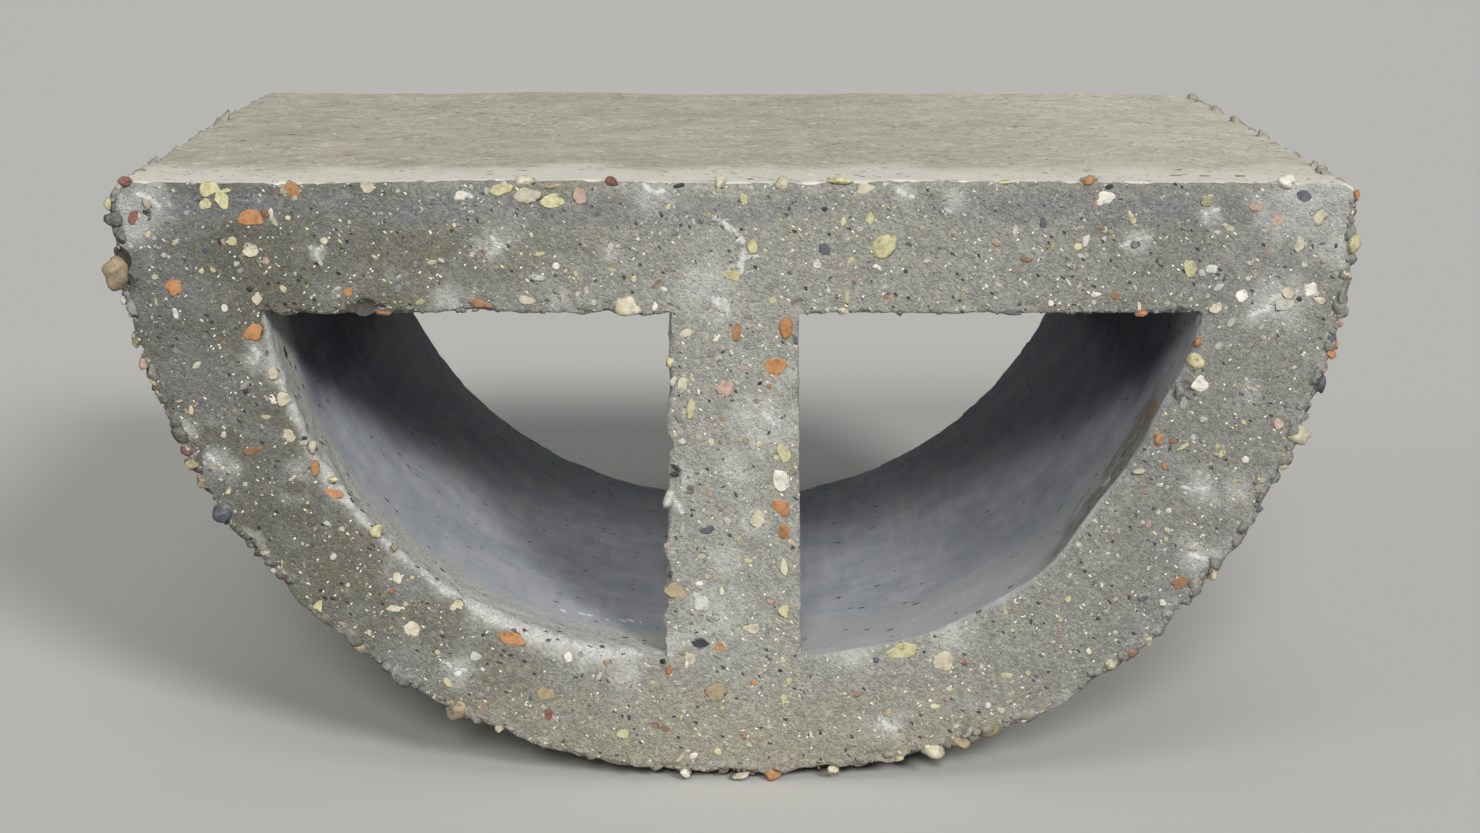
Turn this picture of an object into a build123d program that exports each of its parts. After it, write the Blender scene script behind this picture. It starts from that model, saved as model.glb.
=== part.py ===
from build123d import *
import math
import os

# Half-round hollow concrete block, cast in one piece: a flat deck on top, a round belly
# under it, and two cells, parted by a web, that run from end to end.
# Millimetres. The origin is on the floor under the middle of the belly. +X runs across
# the deck, +Y from the thick-walled front end to the thin-walled rear end, +Z is up.

# Outside form
block_width = 400.0
block_height = 200.0
block_length = 300.0
flank_height = 24.0          # upright sides, from the deck down to where the belly starts

# Deck and web, which thin a little towards the rear as the cores part from them
deck_thickness = 42.5
deck_thinning = 3.0
web_thickness = 41.5         # under the deck, at the front end
web_foot_spread = 3.0        # how much wider the web stands on the belly
web_thinning = 4.0

# Belly wall round each cell, at the front end and at the rear end
haunch_angle = 45.0          # where the haunch is measured, down from the level
front_side_wall = 45.0       # level with the underside of the deck
front_haunch_wall = 36.0
front_floor_wall = 41.0      # beside the web
rear_side_wall = 43.5
rear_haunch_wall = 29.5
rear_floor_wall = 23.5

# Edges. Only the belly's lip is bevelled at the cells: the deck and web have crisp ones.
lip_bevel = 4.0              # off the belly wall at the front end
lip_depth = 5.0              # from the front end to where the full wall starts
deck_corner_radius = 6.0     # the long edges of the deck
end_arris_radius = 3.5       # round both ends of the block

half_width = block_width / 2
half_length = block_length / 2
flank_foot = block_height - flank_height
belly_radius = (half_width**2 + flank_foot**2) / (2 * flank_foot)


def outside_reach(height):
    """Half the width of the outside form at a height above the floor."""
    if height >= flank_foot:
        return half_width
    return math.sqrt(height * (2 * belly_radius - height))


def belly_height(reach):
    """Height of the belly's outer face at a distance from the middle."""
    return belly_radius - math.sqrt(belly_radius**2 - reach**2)


def outside_face():
    """The end view of the block without its cells."""
    flank_left = Line((-half_width, block_height), (-half_width, flank_foot))
    belly = ThreePointArc((-half_width, flank_foot), (0, 0), (half_width, flank_foot))
    flank_right = Line((half_width, flank_foot), (half_width, block_height))
    deck = Line((half_width, block_height), (-half_width, block_height))
    face = make_face([flank_left, belly, flank_right, deck])
    return fillet(face.vertices().group_by(Axis.Y)[-1], deck_corner_radius)


def cell_face(deck_wall, web_wall, side_wall, haunch_wall, floor_wall):
    """Section of the right-hand cell, set out from the walls that are left round it."""
    ceiling = block_height - deck_wall
    web_top = web_wall / 2
    web_foot = web_top + web_foot_spread / 2
    haunch = math.radians(haunch_angle)
    haunch_radius = belly_radius - haunch_wall
    shoulder = (outside_reach(ceiling) - side_wall, ceiling)
    hip = (haunch_radius * math.cos(haunch), belly_radius - haunch_radius * math.sin(haunch))
    foot = (web_foot, belly_height(web_foot) + floor_wall)
    floor = ThreePointArc(shoulder, hip, foot)
    web_side = Line(foot, (web_top, ceiling))
    underside = Line((web_top, ceiling), shoulder)
    return make_face([floor, web_side, underside])


def tapered_core():
    """The solid core that shapes the right-hand cell: a bevelled lip, then a long taper."""
    lip = cell_face(
        deck_thickness, web_thickness,
        front_side_wall - lip_bevel, front_haunch_wall - lip_bevel, front_floor_wall - lip_bevel,
    )
    front = cell_face(
        deck_thickness, web_thickness,
        front_side_wall, front_haunch_wall, front_floor_wall,
    )
    rear = cell_face(
        deck_thickness - deck_thinning, web_thickness - web_thinning,
        rear_side_wall, rear_haunch_wall, rear_floor_wall,
    )
    front_end = Plane.XZ.offset(half_length)
    lip_end = Plane.XZ.offset(half_length - lip_depth)
    rear_end = Plane.XZ.offset(-half_length)
    return loft([front_end * lip, lip_end * front, rear_end * rear], ruled=True)


def half_round_block():
    """The whole block, with its cells and rounded edges."""
    block = extrude(Plane.XZ * outside_face(), amount=half_length, both=True)
    core = tapered_core()
    block = block - core - mirror(core, Plane.YZ)
    for end in (0, -1):
        end_face = block.faces().sort_by(Axis.Y)[end]
        block = fillet(end_face.outer_wire().edges(), end_arris_radius)
    return block


os.makedirs("parts", exist_ok=True)
export_step(half_round_block(), "parts/half_round_block.step")
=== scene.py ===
import bmesh
import bpy
import math
import numpy as np
from mathutils import Matrix, Vector, kdtree
from mathutils.bvhtree import BVHTree
from mathutils.geometry import delaunay_2d_cdt


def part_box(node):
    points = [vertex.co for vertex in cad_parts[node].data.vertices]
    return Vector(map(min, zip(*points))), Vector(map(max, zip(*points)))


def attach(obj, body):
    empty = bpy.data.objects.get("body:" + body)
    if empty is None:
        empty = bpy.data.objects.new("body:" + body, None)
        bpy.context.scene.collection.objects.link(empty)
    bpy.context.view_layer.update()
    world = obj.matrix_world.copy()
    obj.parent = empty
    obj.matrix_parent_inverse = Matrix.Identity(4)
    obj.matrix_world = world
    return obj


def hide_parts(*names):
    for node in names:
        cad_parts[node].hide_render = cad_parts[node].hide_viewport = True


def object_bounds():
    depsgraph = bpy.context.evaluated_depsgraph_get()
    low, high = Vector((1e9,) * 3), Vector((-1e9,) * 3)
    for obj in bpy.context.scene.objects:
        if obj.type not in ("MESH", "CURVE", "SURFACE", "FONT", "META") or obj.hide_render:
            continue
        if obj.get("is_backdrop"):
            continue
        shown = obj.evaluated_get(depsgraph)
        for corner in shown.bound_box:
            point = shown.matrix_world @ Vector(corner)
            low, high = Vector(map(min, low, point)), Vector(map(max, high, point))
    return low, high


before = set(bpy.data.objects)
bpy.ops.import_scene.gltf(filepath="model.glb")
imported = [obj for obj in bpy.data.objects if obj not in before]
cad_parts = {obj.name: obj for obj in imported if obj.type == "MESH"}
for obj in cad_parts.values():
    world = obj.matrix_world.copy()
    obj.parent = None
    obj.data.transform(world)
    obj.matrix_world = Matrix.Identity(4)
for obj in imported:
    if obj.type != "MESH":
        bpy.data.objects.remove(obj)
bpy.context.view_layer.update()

# Sizes in metres. The outside comes from the frame, the walls are the block's own.
NODE = "half_round_block"
LOW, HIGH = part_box(NODE)
HALF_WIDTH = HIGH.x
HEIGHT = HIGH.z
FRONT, REAR = LOW.y, HIGH.y
LENGTH = REAR - FRONT
MM = 0.001
FLANK = 24 * MM
DECK_CORNER = 5 * MM
DECK_WALL, DECK_THINNING = 42.5 * MM, 3 * MM
WEB, WEB_THINNING, WEB_SPREAD = 41.5 * MM, 4 * MM, 3 * MM
FRONT_WALLS = (45 * MM, 36 * MM, 41 * MM)      # side, haunch, floor
REAR_WALLS = (43.5 * MM, 29.5 * MM, 23.5 * MM)
FLANK_FOOT = HEIGHT - FLANK
BELLY_RADIUS = (HALF_WIDTH**2 + FLANK_FOOT**2) / (2 * FLANK_FOOT)

# How the casting departs from its mould
MATRIX_INSET = 1.2 * MM          # the belly's cement lies below the tops of its gravel
RIGHT_BULGE = 6.0 * MM           # the right haunch is fuller than the left
RIGHT_LIP = 5.0 * MM             # and thicker inside, round the right cell's mouth
LIP_REACH = 45 * MM              # depth over which that dies away
BULGE_AT, BULGE_SPREAD = math.radians(50), math.radians(26)
REACH_IN = 5 * MM                # how deep into the block a surface's own waves still move it

# Height, lump size, octaves and seed of the casting's waves
SWELL = (0.0006, 70 * MM, 2, 11)
BELLY_ROUGH, BELLY_GRIT = (0.00085, 15 * MM, 3, 12), (0.0005, 4 * MM, 1, 13)
DECK_WAVE = (0.00016, 12 * MM, 2, 14)
CELL_WAVE, MOUTH_GRIT = (0.00010, 9 * MM, 2, 16), (0.00065, 6 * MM, 3, 21)
FACE_WAVE, FACE_GRIT = (0.00024, 7 * MM, 3, 15), (0.00012, 2.4 * MM, 1, 19)
WEAR = (1, 8 * MM, 3, 18)        # a share of the depth lost
WEAR_REACH = 2.6 * MM

# Radii of the arrises in millimetres, and what the cells' mouths add to theirs
DECK_ARRIS, BELLY_ARRIS, CELL_ARRIS = 1.4, 1.1, 0.9
RIGHT_MOUTH, LEFT_MOUTH = 1.5, 5.0
LIP_OPENS = 14.0                 # points of a loop over which its lip opens
BREAK_ROUGH = 0.5 * MM           # how rough the broken corners are

# Mesh spacing
FINE_ROWS, COARSE_ROWS = (1.2 * MM, 2.4 * MM), (1.3 * MM, 4.4 * MM)    # at the ends and in the middle
LOOP_STEP = 1.25 * MM
CELL_COUNTS = (92, 150, 88)      # points on the underside, the round floor, the web's side
FRONT_CAP_STEP = 1.15 * MM
REAR_CAP_STEP = 2.3 * MM

# The picture's size and the camera that took it
PHOTO_W, PHOTO_H = 1480, 833
FOCAL_PX = 2688.6
SENSOR = 36.0
CAM_PLACE = Vector((-0.0051, -1.0045, 0.3089))
CAM_PITCH, CAM_YAW, CAM_ROLL = (math.radians(a) for a in (12.24, 0.47, 0.12))
END_AWAY = 0.8545                # from the camera to the front end
PX = END_AWAY / FOCAL_PX         # metres to a pixel at the front end


# Seeded noise over arrays of points

def lattice(ix, iy, iz, seed):
    """A fixed number from -1 to 1 for each whole-number place."""
    h = (ix * 374761393 + iy * 668265263 + iz * 2147483647 + seed * 1274126177) & 0xFFFFFFFF
    h = ((h ^ (h >> 13)) * 1103515245) & 0xFFFFFFFF
    h = ((h ^ (h >> 16)) * 2246822519) & 0xFFFFFFFF
    return ((h ^ (h >> 15)) & 0xFFFFFF) / float(0x7FFFFF) - 1.0


def noise(points, size, seed=0):
    """Smooth noise from about -1 to 1 with lumps of one size in metres."""
    p = np.asarray(points) / size
    base = np.floor(p)
    f = p - base
    f = f * f * f * (f * (f * 6 - 15) + 10)
    i = base.astype(np.int64)
    total = np.zeros(len(p))
    for dx in (0, 1):
        wx = f[:, 0] if dx else 1 - f[:, 0]
        for dy in (0, 1):
            wy = f[:, 1] if dy else 1 - f[:, 1]
            for dz in (0, 1):
                wz = f[:, 2] if dz else 1 - f[:, 2]
                total += wx * wy * wz * lattice(i[:, 0] + dx, i[:, 1] + dy, i[:, 2] + dz, seed)
    return total * 1.5


def lumps(points, size, octaves=3, seed=0):
    """Noise summed over halving sizes."""
    total = np.zeros(len(points))
    for k in range(octaves):
        total += 0.5**k * noise(points, size / 2**k, seed + 17 * k)
    return total


def smooth_step(x, a, b):
    t = np.clip((x - a) / (b - a), 0, 1)
    return t * t * (3 - 2 * t)


def rise(x, a, b):
    """From 0 to 1 between two places in millimetres."""
    return smooth_step(x, a * MM, b * MM)


def fall(x, a, b):
    return 1 - rise(x, a, b)


def near(distance, reach):
    """1 at a place, dying away over a reach in millimetres."""
    return np.exp(-((distance / (reach * MM)) ** 2))


# The camera, which also places what the picture shows on the front end

def camera_axes():
    """The camera's right, up and forward directions."""
    level = math.cos(CAM_PITCH)
    forward = Vector((math.sin(CAM_YAW) * level, math.cos(CAM_YAW) * level, -math.sin(CAM_PITCH)))
    right = Vector((math.cos(CAM_YAW), -math.sin(CAM_YAW), 0))
    up = right.cross(forward)
    c, s = math.cos(CAM_ROLL), math.sin(CAM_ROLL)
    return right * c + up * s, up * c - right * s, forward


CAM_RIGHT, CAM_UP, CAM_FORWARD = camera_axes()


def sight(px, py):
    """The direction in which the camera sees a pixel of the picture."""
    return (CAM_FORWARD + CAM_RIGHT * ((px - PHOTO_W / 2) / FOCAL_PX)
            - CAM_UP * ((py - PHOTO_H / 2) / FOCAL_PX))


def on_front(px, py):
    """The point of the front end's plane that a pixel of the picture shows."""
    ray = sight(px, py)
    return CAM_PLACE + ray * ((FRONT - CAM_PLACE.y) / ray.y)


# Sections of the block, as closed loops of (x, z)

def line(a, b, count):
    t = np.arange(count)[:, None] / count
    return np.array(a) * (1 - t) + np.array(b) * t


def arc(centre, radius, start, end, count):
    t = start + (end - start) * np.arange(count) / count
    return np.stack([centre[0] + radius * np.cos(t), centre[1] + radius * np.sin(t)], 1)


def circle_through(a, b, c):
    """Centre and radius of the circle through three points."""
    (ax, ay), (bx, by), (cx, cy) = a, b, c
    d = 2 * (ax * (by - cy) + bx * (cy - ay) + cx * (ay - by))
    a2, b2, c2 = ax * ax + ay * ay, bx * bx + by * by, cx * cx + cy * cy
    x = (a2 * (by - cy) + b2 * (cy - ay) + c2 * (ay - by)) / d
    y = (a2 * (cx - bx) + b2 * (ax - cx) + c2 * (bx - ax)) / d
    return x, y, math.hypot(ax - x, ay - y)


def steps(length, spacing=LOOP_STEP):
    return max(2, int(round(length / spacing)))


def outside_loop():
    """The end view's outline, from the right end of the deck over the left side and the belly."""
    c, w, h = DECK_CORNER, HALF_WIDTH, HEIGHT
    reach = math.acos(w / BELLY_RADIUS)
    corner = steps(c * math.pi / 2)
    return np.concatenate([
        line((w - c, h), (-w + c, h), steps(2 * (w - c))),
        arc((-w + c, h - c), c, math.pi / 2, math.pi, corner),
        line((-w, h - c), (-w, FLANK_FOOT), steps(FLANK - c)),
        arc((0, BELLY_RADIUS), BELLY_RADIUS, math.pi + reach, 2 * math.pi - reach,
            steps(BELLY_RADIUS * (math.pi - 2 * reach))),
        line((w, FLANK_FOOT), (w, h - c), steps(FLANK - c)),
        arc((w - c, h - c), c, 0, math.pi / 2, corner),
    ])


def cell_loop(deck_wall, web, walls):
    """The right-hand cell's section, clockwise from the top of the web."""
    side, haunch, floor = walls
    ceiling = HEIGHT - deck_wall
    foot_x = web / 2 + WEB_SPREAD / 2
    r = (BELLY_RADIUS - haunch) * math.sqrt(0.5)
    shoulder = (math.sqrt(ceiling * (2 * BELLY_RADIUS - ceiling)) - side, ceiling)
    foot = (foot_x, BELLY_RADIUS - math.sqrt(BELLY_RADIUS**2 - foot_x**2) + floor)
    cx, cz, radius = circle_through(shoulder, (r, BELLY_RADIUS - r), foot)
    start = math.atan2(shoulder[1] - cz, shoulder[0] - cx)
    end = math.atan2(foot[1] - cz, foot[0] - cx)
    return np.concatenate([
        line((web / 2, ceiling), shoulder, CELL_COUNTS[0]),
        arc((cx, cz), radius, start, end, CELL_COUNTS[1]),
        line(foot, (web / 2, ceiling), CELL_COUNTS[2]),
    ])


CELL_FRONT = cell_loop(DECK_WALL, WEB, FRONT_WALLS)
CELL_REAR = cell_loop(DECK_WALL - DECK_THINNING, WEB - WEB_THINNING, REAR_WALLS)


def mirrored(loop):
    """The other cell's loop, with the same sense of turn."""
    return (loop * (-1, 1))[::-1]


def loop_normals(loop):
    """Unit normals that point out of the concrete."""
    t = np.roll(loop, -1, 0) - np.roll(loop, 1, 0)
    t /= np.linalg.norm(t, axis=1, keepdims=True)
    return np.stack([t[:, 1], -t[:, 0]], 1)


def bulged(loop):
    """The outline with the casting's fuller right haunch and the belly's cement set back."""
    down = HEIGHT - loop[:, 1]
    angle = np.arctan2(down, np.abs(loop[:, 0]))
    right = (loop[:, 0] > 0) * RIGHT_BULGE * np.exp(-((angle - BULGE_AT) / BULGE_SPREAD) ** 2)
    belly = smooth_step(down, FLANK * 0.5, FLANK * 1.3)
    flank = smooth_step(down, DECK_CORNER, FLANK * 0.6)
    out = np.stack([loop[:, 0], -down], 1)
    radius = np.maximum(np.linalg.norm(out, axis=1), 1e-6)
    grown = radius + belly * right - flank * MATRIX_INSET
    return out * (grown / radius)[:, None] + (0, HEIGHT)


OUTLINE = bulged(outside_loop())


# Swept walls and end caps

ARRIS_TURNS = np.radians([90, 60, 32, 10])
ROW_GROWTH, REAR_SHARE = 1.06, 0.2    # how fast the rows of a wall draw apart and close up again


def length_shares(first, middle):
    """Shares of the length for the rows of a wall, closer together near the ends."""
    rows, y, step = [], 0.0, first
    while y < LENGTH - 1.5 * first:
        rows.append(y)
        y += min(step, max(first, (LENGTH - y) * REAR_SHARE))
        step = min(step * ROW_GROWTH, middle)
    rows.append(LENGTH)
    return np.array(rows) / LENGTH


def swept_wall(front_loop, rear_loop, front_radius, rear_radius, shares):
    """Grid of points for a wall between two end loops, with a rounded arris at each end.
    Also each point's section normal and its lean towards the end, from 0 to 1."""
    nf, nr = loop_normals(front_loop), loop_normals(rear_loop)
    points, normals, lean = [], [], []

    def arris_row(loop, n, y, radius, turn, way):
        flat = loop - n * (radius * (1 - math.cos(turn)))[:, None]
        depth = y - way * radius * (1 - math.sin(turn))
        points.append(np.stack([flat[:, 0], depth, flat[:, 1]], 1))
        normals.append(n)
        lean.append(np.full(len(loop), math.sin(turn)))

    for turn in ARRIS_TURNS:
        arris_row(front_loop, nf, FRONT, front_radius, turn, -1)
    for t in shares:
        loop = front_loop * (1 - t) + rear_loop * t
        n = nf * (1 - t) + nr * t
        n /= np.linalg.norm(n, axis=1, keepdims=True)
        y = (FRONT + front_radius) * (1 - t) + (REAR - rear_radius) * t
        points.append(np.stack([loop[:, 0], y, loop[:, 1]], 1))
        normals.append(n)
        lean.append(np.zeros(len(loop)))
    for turn in ARRIS_TURNS[::-1]:
        arris_row(rear_loop, nr, REAR, rear_radius, turn, 1)
    return np.array(points), np.array(normals), np.array(lean)


def sleeve_faces(rows, columns, first):
    """Quads of a closed sleeve whose points start at index first."""
    r, c = np.meshgrid(np.arange(rows - 1), np.arange(columns), indexing="ij")
    following = (c + 1) % columns
    a = first + r * columns + c
    b = first + r * columns + following
    return np.stack([a, a + columns, b + columns, b], -1).reshape(-1, 4)


def inside(points, loop):
    """Which points lie inside a closed loop."""
    x, y = points[:, 0][:, None], points[:, 1][:, None]
    a, b = loop, np.roll(loop, -1, 0)
    result = np.zeros(len(points), bool)
    climb = np.where(b[:, 1] == a[:, 1], 1e-12, b[:, 1] - a[:, 1])
    for k in range(0, len(points), 4000):
        s = slice(k, k + 4000)
        crosses = (a[:, 1] > y[s]) != (b[:, 1] > y[s])
        at = (b[:, 0] - a[:, 0]) * (y[s] - a[:, 1]) / climb + a[:, 0]
        result[s] = (crosses & (x[s] < at)).sum(1) % 2 == 1
    return result


def nearest(points, loop):
    """Distance to, and index of, the nearest point of a loop."""
    tree = kdtree.KDTree(len(loop))
    for k, v in enumerate(loop):
        tree.insert((v[0], v[1], 0), k)
    tree.balance()
    found = [tree.find((p[0], p[1], 0)) for p in points]
    return np.array([f[2] for f in found]), np.array([f[1] for f in found])


ROW_APART, JITTER, RIM_CLEAR = 0.866, 0.2, 0.62    # in steps: of the rows, at random, off the loops


def cap(loops, step, rng):
    """Points and triangles that fill an end between its outline and its holes."""
    low, high = loops[0].min(0), loops[0].max(0)
    xs = np.arange(low[0], high[0], step)
    zs = np.arange(low[1], high[1], step * ROW_APART)
    gx, gz = np.meshgrid(xs, zs)
    gx = gx + (np.arange(len(zs)) % 2)[:, None] * step / 2
    p = np.stack([gx.ravel(), gz.ravel()], 1)
    p += rng.uniform(-JITTER, JITTER, p.shape) * step
    keep = inside(p, loops[0])
    for hole in loops[1:]:
        keep &= ~inside(p, hole)
    p = p[keep]
    for loop in loops:
        p = p[nearest(p, loop)[0] > RIM_CLEAR * step]
    edges, at = [], 0
    for loop in loops:
        n = len(loop)
        edges += [(at + k, at + (k + 1) % n) for k in range(n)]
        at += n
    verts = [Vector(v) for v in np.concatenate(loops + [p])]
    made = delaunay_2d_cdt(verts, edges, [], 0, 1e-7)
    tris = np.array([f for f in made[2] if len(f) == 3])
    place = np.array([v[:] for v in made[0]])
    source = np.array([o[0] if o else -1 for o in made[3]])
    middle = place[tris].mean(1)
    keep = inside(middle, loops[0])
    for hole in loops[1:]:
        keep &= ~inside(middle, hole)
    return p, source[tris[keep]]


# The block's own surface

OUTER, RIGHT_CELL, LEFT_CELL, FRONT_END, REAR_END = range(5)


def uneven(loop, spread, seed):
    """Shares by which an arris's radius varies along a loop."""
    place = np.stack([loop[:, 0], np.zeros(len(loop)), loop[:, 1]], 1)
    return np.clip(1 + spread * lumps(place, 18 * MM, 2, seed), 0.3, 2.2)


def lip_shape():
    """How open the lip is round a cell: crisp at the underside and the web, open at the belly wall."""
    at = np.arange(sum(CELL_COUNTS))
    inward = np.minimum(at - CELL_COUNTS[0], CELL_COUNTS[0] + CELL_COUNTS[1] - at)
    return np.clip(inward / LIP_OPENS, 0, 1)


class Surface:
    """The block's points with what the waves, colours and pieces need to know about each."""


def sleeves():
    """Each wall's kind, its loops and arris radii at the two ends, and the places of its rows."""
    lip = lip_shape()
    outer = np.where(OUTLINE[:, 1] > HEIGHT - DECK_CORNER, DECK_ARRIS, BELLY_ARRIS) * MM
    crisp = np.full(len(lip), CELL_ARRIS * MM)
    right = (CELL_ARRIS + RIGHT_MOUTH * lip) * MM * uneven(CELL_FRONT, 0.3, 5)
    left = ((CELL_ARRIS + LEFT_MOUTH * lip) * MM * uneven(CELL_FRONT, 0.3, 6))[::-1]
    fine, coarse = length_shares(*FINE_ROWS), length_shares(*COARSE_ROWS)
    return [(OUTER, OUTLINE, OUTLINE, outer * uneven(OUTLINE, 0.6, 3), outer * uneven(OUTLINE, 0.6, 4), fine),
            (RIGHT_CELL, CELL_FRONT, CELL_REAR, right, crisp, coarse),
            (LEFT_CELL, mirrored(CELL_FRONT), mirrored(CELL_REAR), left, crisp, coarse)]


def lay_surface():
    rng = np.random.default_rng(7)
    places, kinds, section, leans, quads, quad_kind = [], [], [], [], [], []
    rims = {FRONT_END: [], REAR_END: []}
    first, turns = 0, len(ARRIS_TURNS)
    for kind, front, rear, front_radius, rear_radius, shares in sleeves():
        p, n, lean = swept_wall(front, rear, front_radius, rear_radius, shares)
        rows, columns = p.shape[:2]
        places.append(p.reshape(-1, 3))
        section.append(n.reshape(-1, 2))
        leans.append(lean.ravel())
        kinds.append(np.full(rows * columns, kind))
        quads.append(sleeve_faces(rows, columns, first))
        row_of = np.repeat(np.arange(rows - 1), columns)
        back = np.where(row_of >= rows - 1 - turns, REAR_END, kind)
        quad_kind.append(np.where(row_of < turns, FRONT_END, back))
        rims[FRONT_END].append((p[0][:, (0, 2)], first + np.arange(columns), n[0]))
        rims[REAR_END].append((p[-1][:, (0, 2)], first + (rows - 1) * columns + np.arange(columns), n[-1]))
        first += rows * columns
    tris, tri_kind = [], []
    for kind, step, y in ((FRONT_END, FRONT_CAP_STEP, FRONT), (REAR_END, REAR_CAP_STEP, REAR)):
        p, t = cap([r[0] for r in rims[kind]], step, rng)
        lookup = np.concatenate([r[1] for r in rims[kind]] + [first + np.arange(len(p))])
        t = lookup[t]
        tris.append(t if kind == FRONT_END else t[:, ::-1])
        tri_kind.append(np.full(len(t), kind))
        places.append(np.stack([p[:, 0], np.full(len(p), y), p[:, 1]], 1))
        section.append(np.zeros((len(p), 2)))
        leans.append(np.ones(len(p)))
        kinds.append(np.full(len(p), kind))
        first += len(p)
    s = Surface()
    s.at, s.kind, s.lean, s.section = (np.concatenate(a) for a in (places, kinds, leans, section))
    s.quads, s.tris, s.quad_kind, s.tri_kind = (np.concatenate(a) for a in (quads, tris, quad_kind, tri_kind))
    measure(s, rims)
    return s


def measure(s, rims):
    """Each point's depths below the outer wall, the cells' walls and the ends, and the walls' normals."""
    count = len(s.at)
    s.way = np.where(s.at[:, 1] < 0, -1.0, 1.0)
    s.end_depth = np.minimum(s.at[:, 1] - FRONT, REAR - s.at[:, 1])
    s.outer_depth, s.cell_depth = np.full(count, 1.0), np.full(count, 1.0)
    s.outer_normal, s.cell_normal = np.zeros((count, 2)), np.zeros((count, 2))
    on_outer, on_cell = s.kind == OUTER, (s.kind == RIGHT_CELL) | (s.kind == LEFT_CELL)
    s.outer_depth[on_outer] = 0
    s.cell_depth[on_cell] = 0
    s.outer_normal[on_outer] = s.section[on_outer]
    s.cell_normal[on_cell] = s.section[on_cell]
    for kind in (FRONT_END, REAR_END):
        here = np.flatnonzero(s.kind == kind)
        flat = s.at[here][:, (0, 2)]
        for depth, normal, edges in ((s.outer_depth, s.outer_normal, rims[kind][:1]),
                                     (s.cell_depth, s.cell_normal, rims[kind][1:])):
            distance, k = nearest(flat, np.concatenate([e[0] for e in edges]))
            depth[here], normal[here] = distance, np.concatenate([e[2] for e in edges])[k]
    # a depth of a metre stands for a wall that is out of reach
    s.by_outer, s.by_cell = s.outer_depth < 0.9, s.cell_depth < 0.9


def wave(at, height, size, octaves, seed):
    """One of the casting's waves, from its row of numbers."""
    return height * lumps(at, size, octaves, seed)


def right_lip(s):
    """How much thicker the wall is inside the right cell's mouth."""
    x, y, z = s.at.T
    lip = RIGHT_LIP * rise(z, 68, 92) * (1 - 0.75 * rise(z, 122, 146))
    facing = smooth_step(s.cell_normal[:, 0], 0.0, -0.3)
    return lip * ((x > 60 * MM) * facing * np.exp(-(y - FRONT) / LIP_REACH))


def wave_surface(s):
    """Moves the points with the waves, grit and worn arrises of the casting."""
    at = s.at
    up = s.outer_normal[:, 1]
    by_outer = np.exp(-s.outer_depth / REACH_IN) * s.by_outer
    deck, belly = smooth_step(up, 0.5, 0.9) * by_outer, (1 - smooth_step(up, -0.3, 0.5)) * by_outer
    s.cell = np.exp(-s.cell_depth / REACH_IN) * s.by_cell
    s.end = np.exp(-s.end_depth / REACH_IN)
    swell = wave(at, *SWELL)
    out = belly * (wave(at, *BELLY_ROUGH) + wave(at, *BELLY_GRIT) + swell)
    out += deck * (0.6 * swell + wave(at, *DECK_WAVE))
    inner = s.cell * (right_lip(s) + 0.5 * swell + wave(at, *CELL_WAVE))
    mouth = s.cell * np.exp(-s.end_depth / (14 * MM)) * (s.way < 0) * (at[:, 0] < 0)
    inner += mouth * wave(at, *MOUTH_GRIT)
    face = s.end * (0.5 * swell + wave(at, *FACE_WAVE) + wave(at, *FACE_GRIT))
    # the arrises lose more here and less there
    outer_nearer = s.outer_depth < s.cell_depth
    arris = np.minimum(s.outer_depth, s.cell_depth) + s.end_depth
    worn = np.maximum(0, wave(at, *WEAR) + 0.1) * np.exp(-((arris / WEAR_REACH) ** 2))
    share = np.where(outer_nearer, np.where(up > 0.5, 0.9, 1.0), 0.75) * MM
    push = -worn * share * 0.7
    outward = np.where(outer_nearer[:, None], s.outer_normal, s.cell_normal)
    flat = out[:, None] * s.outer_normal + inner[:, None] * s.cell_normal + push[:, None] * outward
    s.moved = at + np.stack([flat[:, 0], s.way * (face + push), flat[:, 1]], 1)


def scoop(s, centre, radius):
    """Hollows the surface where a ball would cut it."""
    out = s.moved - np.array(centre)
    d = np.linalg.norm(out, axis=1)
    hit = d < radius
    s.moved[hit] = np.array(centre) + out[hit] * (radius / d[hit])[:, None]


def shear_off(s, place, direction, seed):
    """Breaks the surface back to a rough plane."""
    n = np.array(direction, float)
    n /= np.linalg.norm(n)
    wobble = BREAK_ROUGH * lumps(s.moved, 5 * MM, 3, 90 + seed)
    over = (s.moved - np.array(place)) @ n + wobble
    hit = over > 0
    s.moved[hit] -= over[hit][:, None] * n


def point_normals(s):
    """Smooth normals over the whole surface, so that its pieces meet unseen."""
    tris = np.concatenate([s.quads[:, (0, 1, 2)], s.quads[:, (0, 2, 3)], s.tris])
    a, b, c = (s.moved[tris[:, k]] for k in range(3))
    face = np.cross(b - a, c - a)
    total = np.zeros_like(s.moved)
    for k in range(3):
        for axis in range(3):
            total[:, axis] += np.bincount(tris[:, k], face[:, axis], len(total))
    return total / np.maximum(np.linalg.norm(total, axis=1, keepdims=True), 1e-12)


# Meshes

def add_object(name, data):
    obj = bpy.data.objects.new(name, data)
    bpy.context.scene.collection.objects.link(obj)
    return obj


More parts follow.
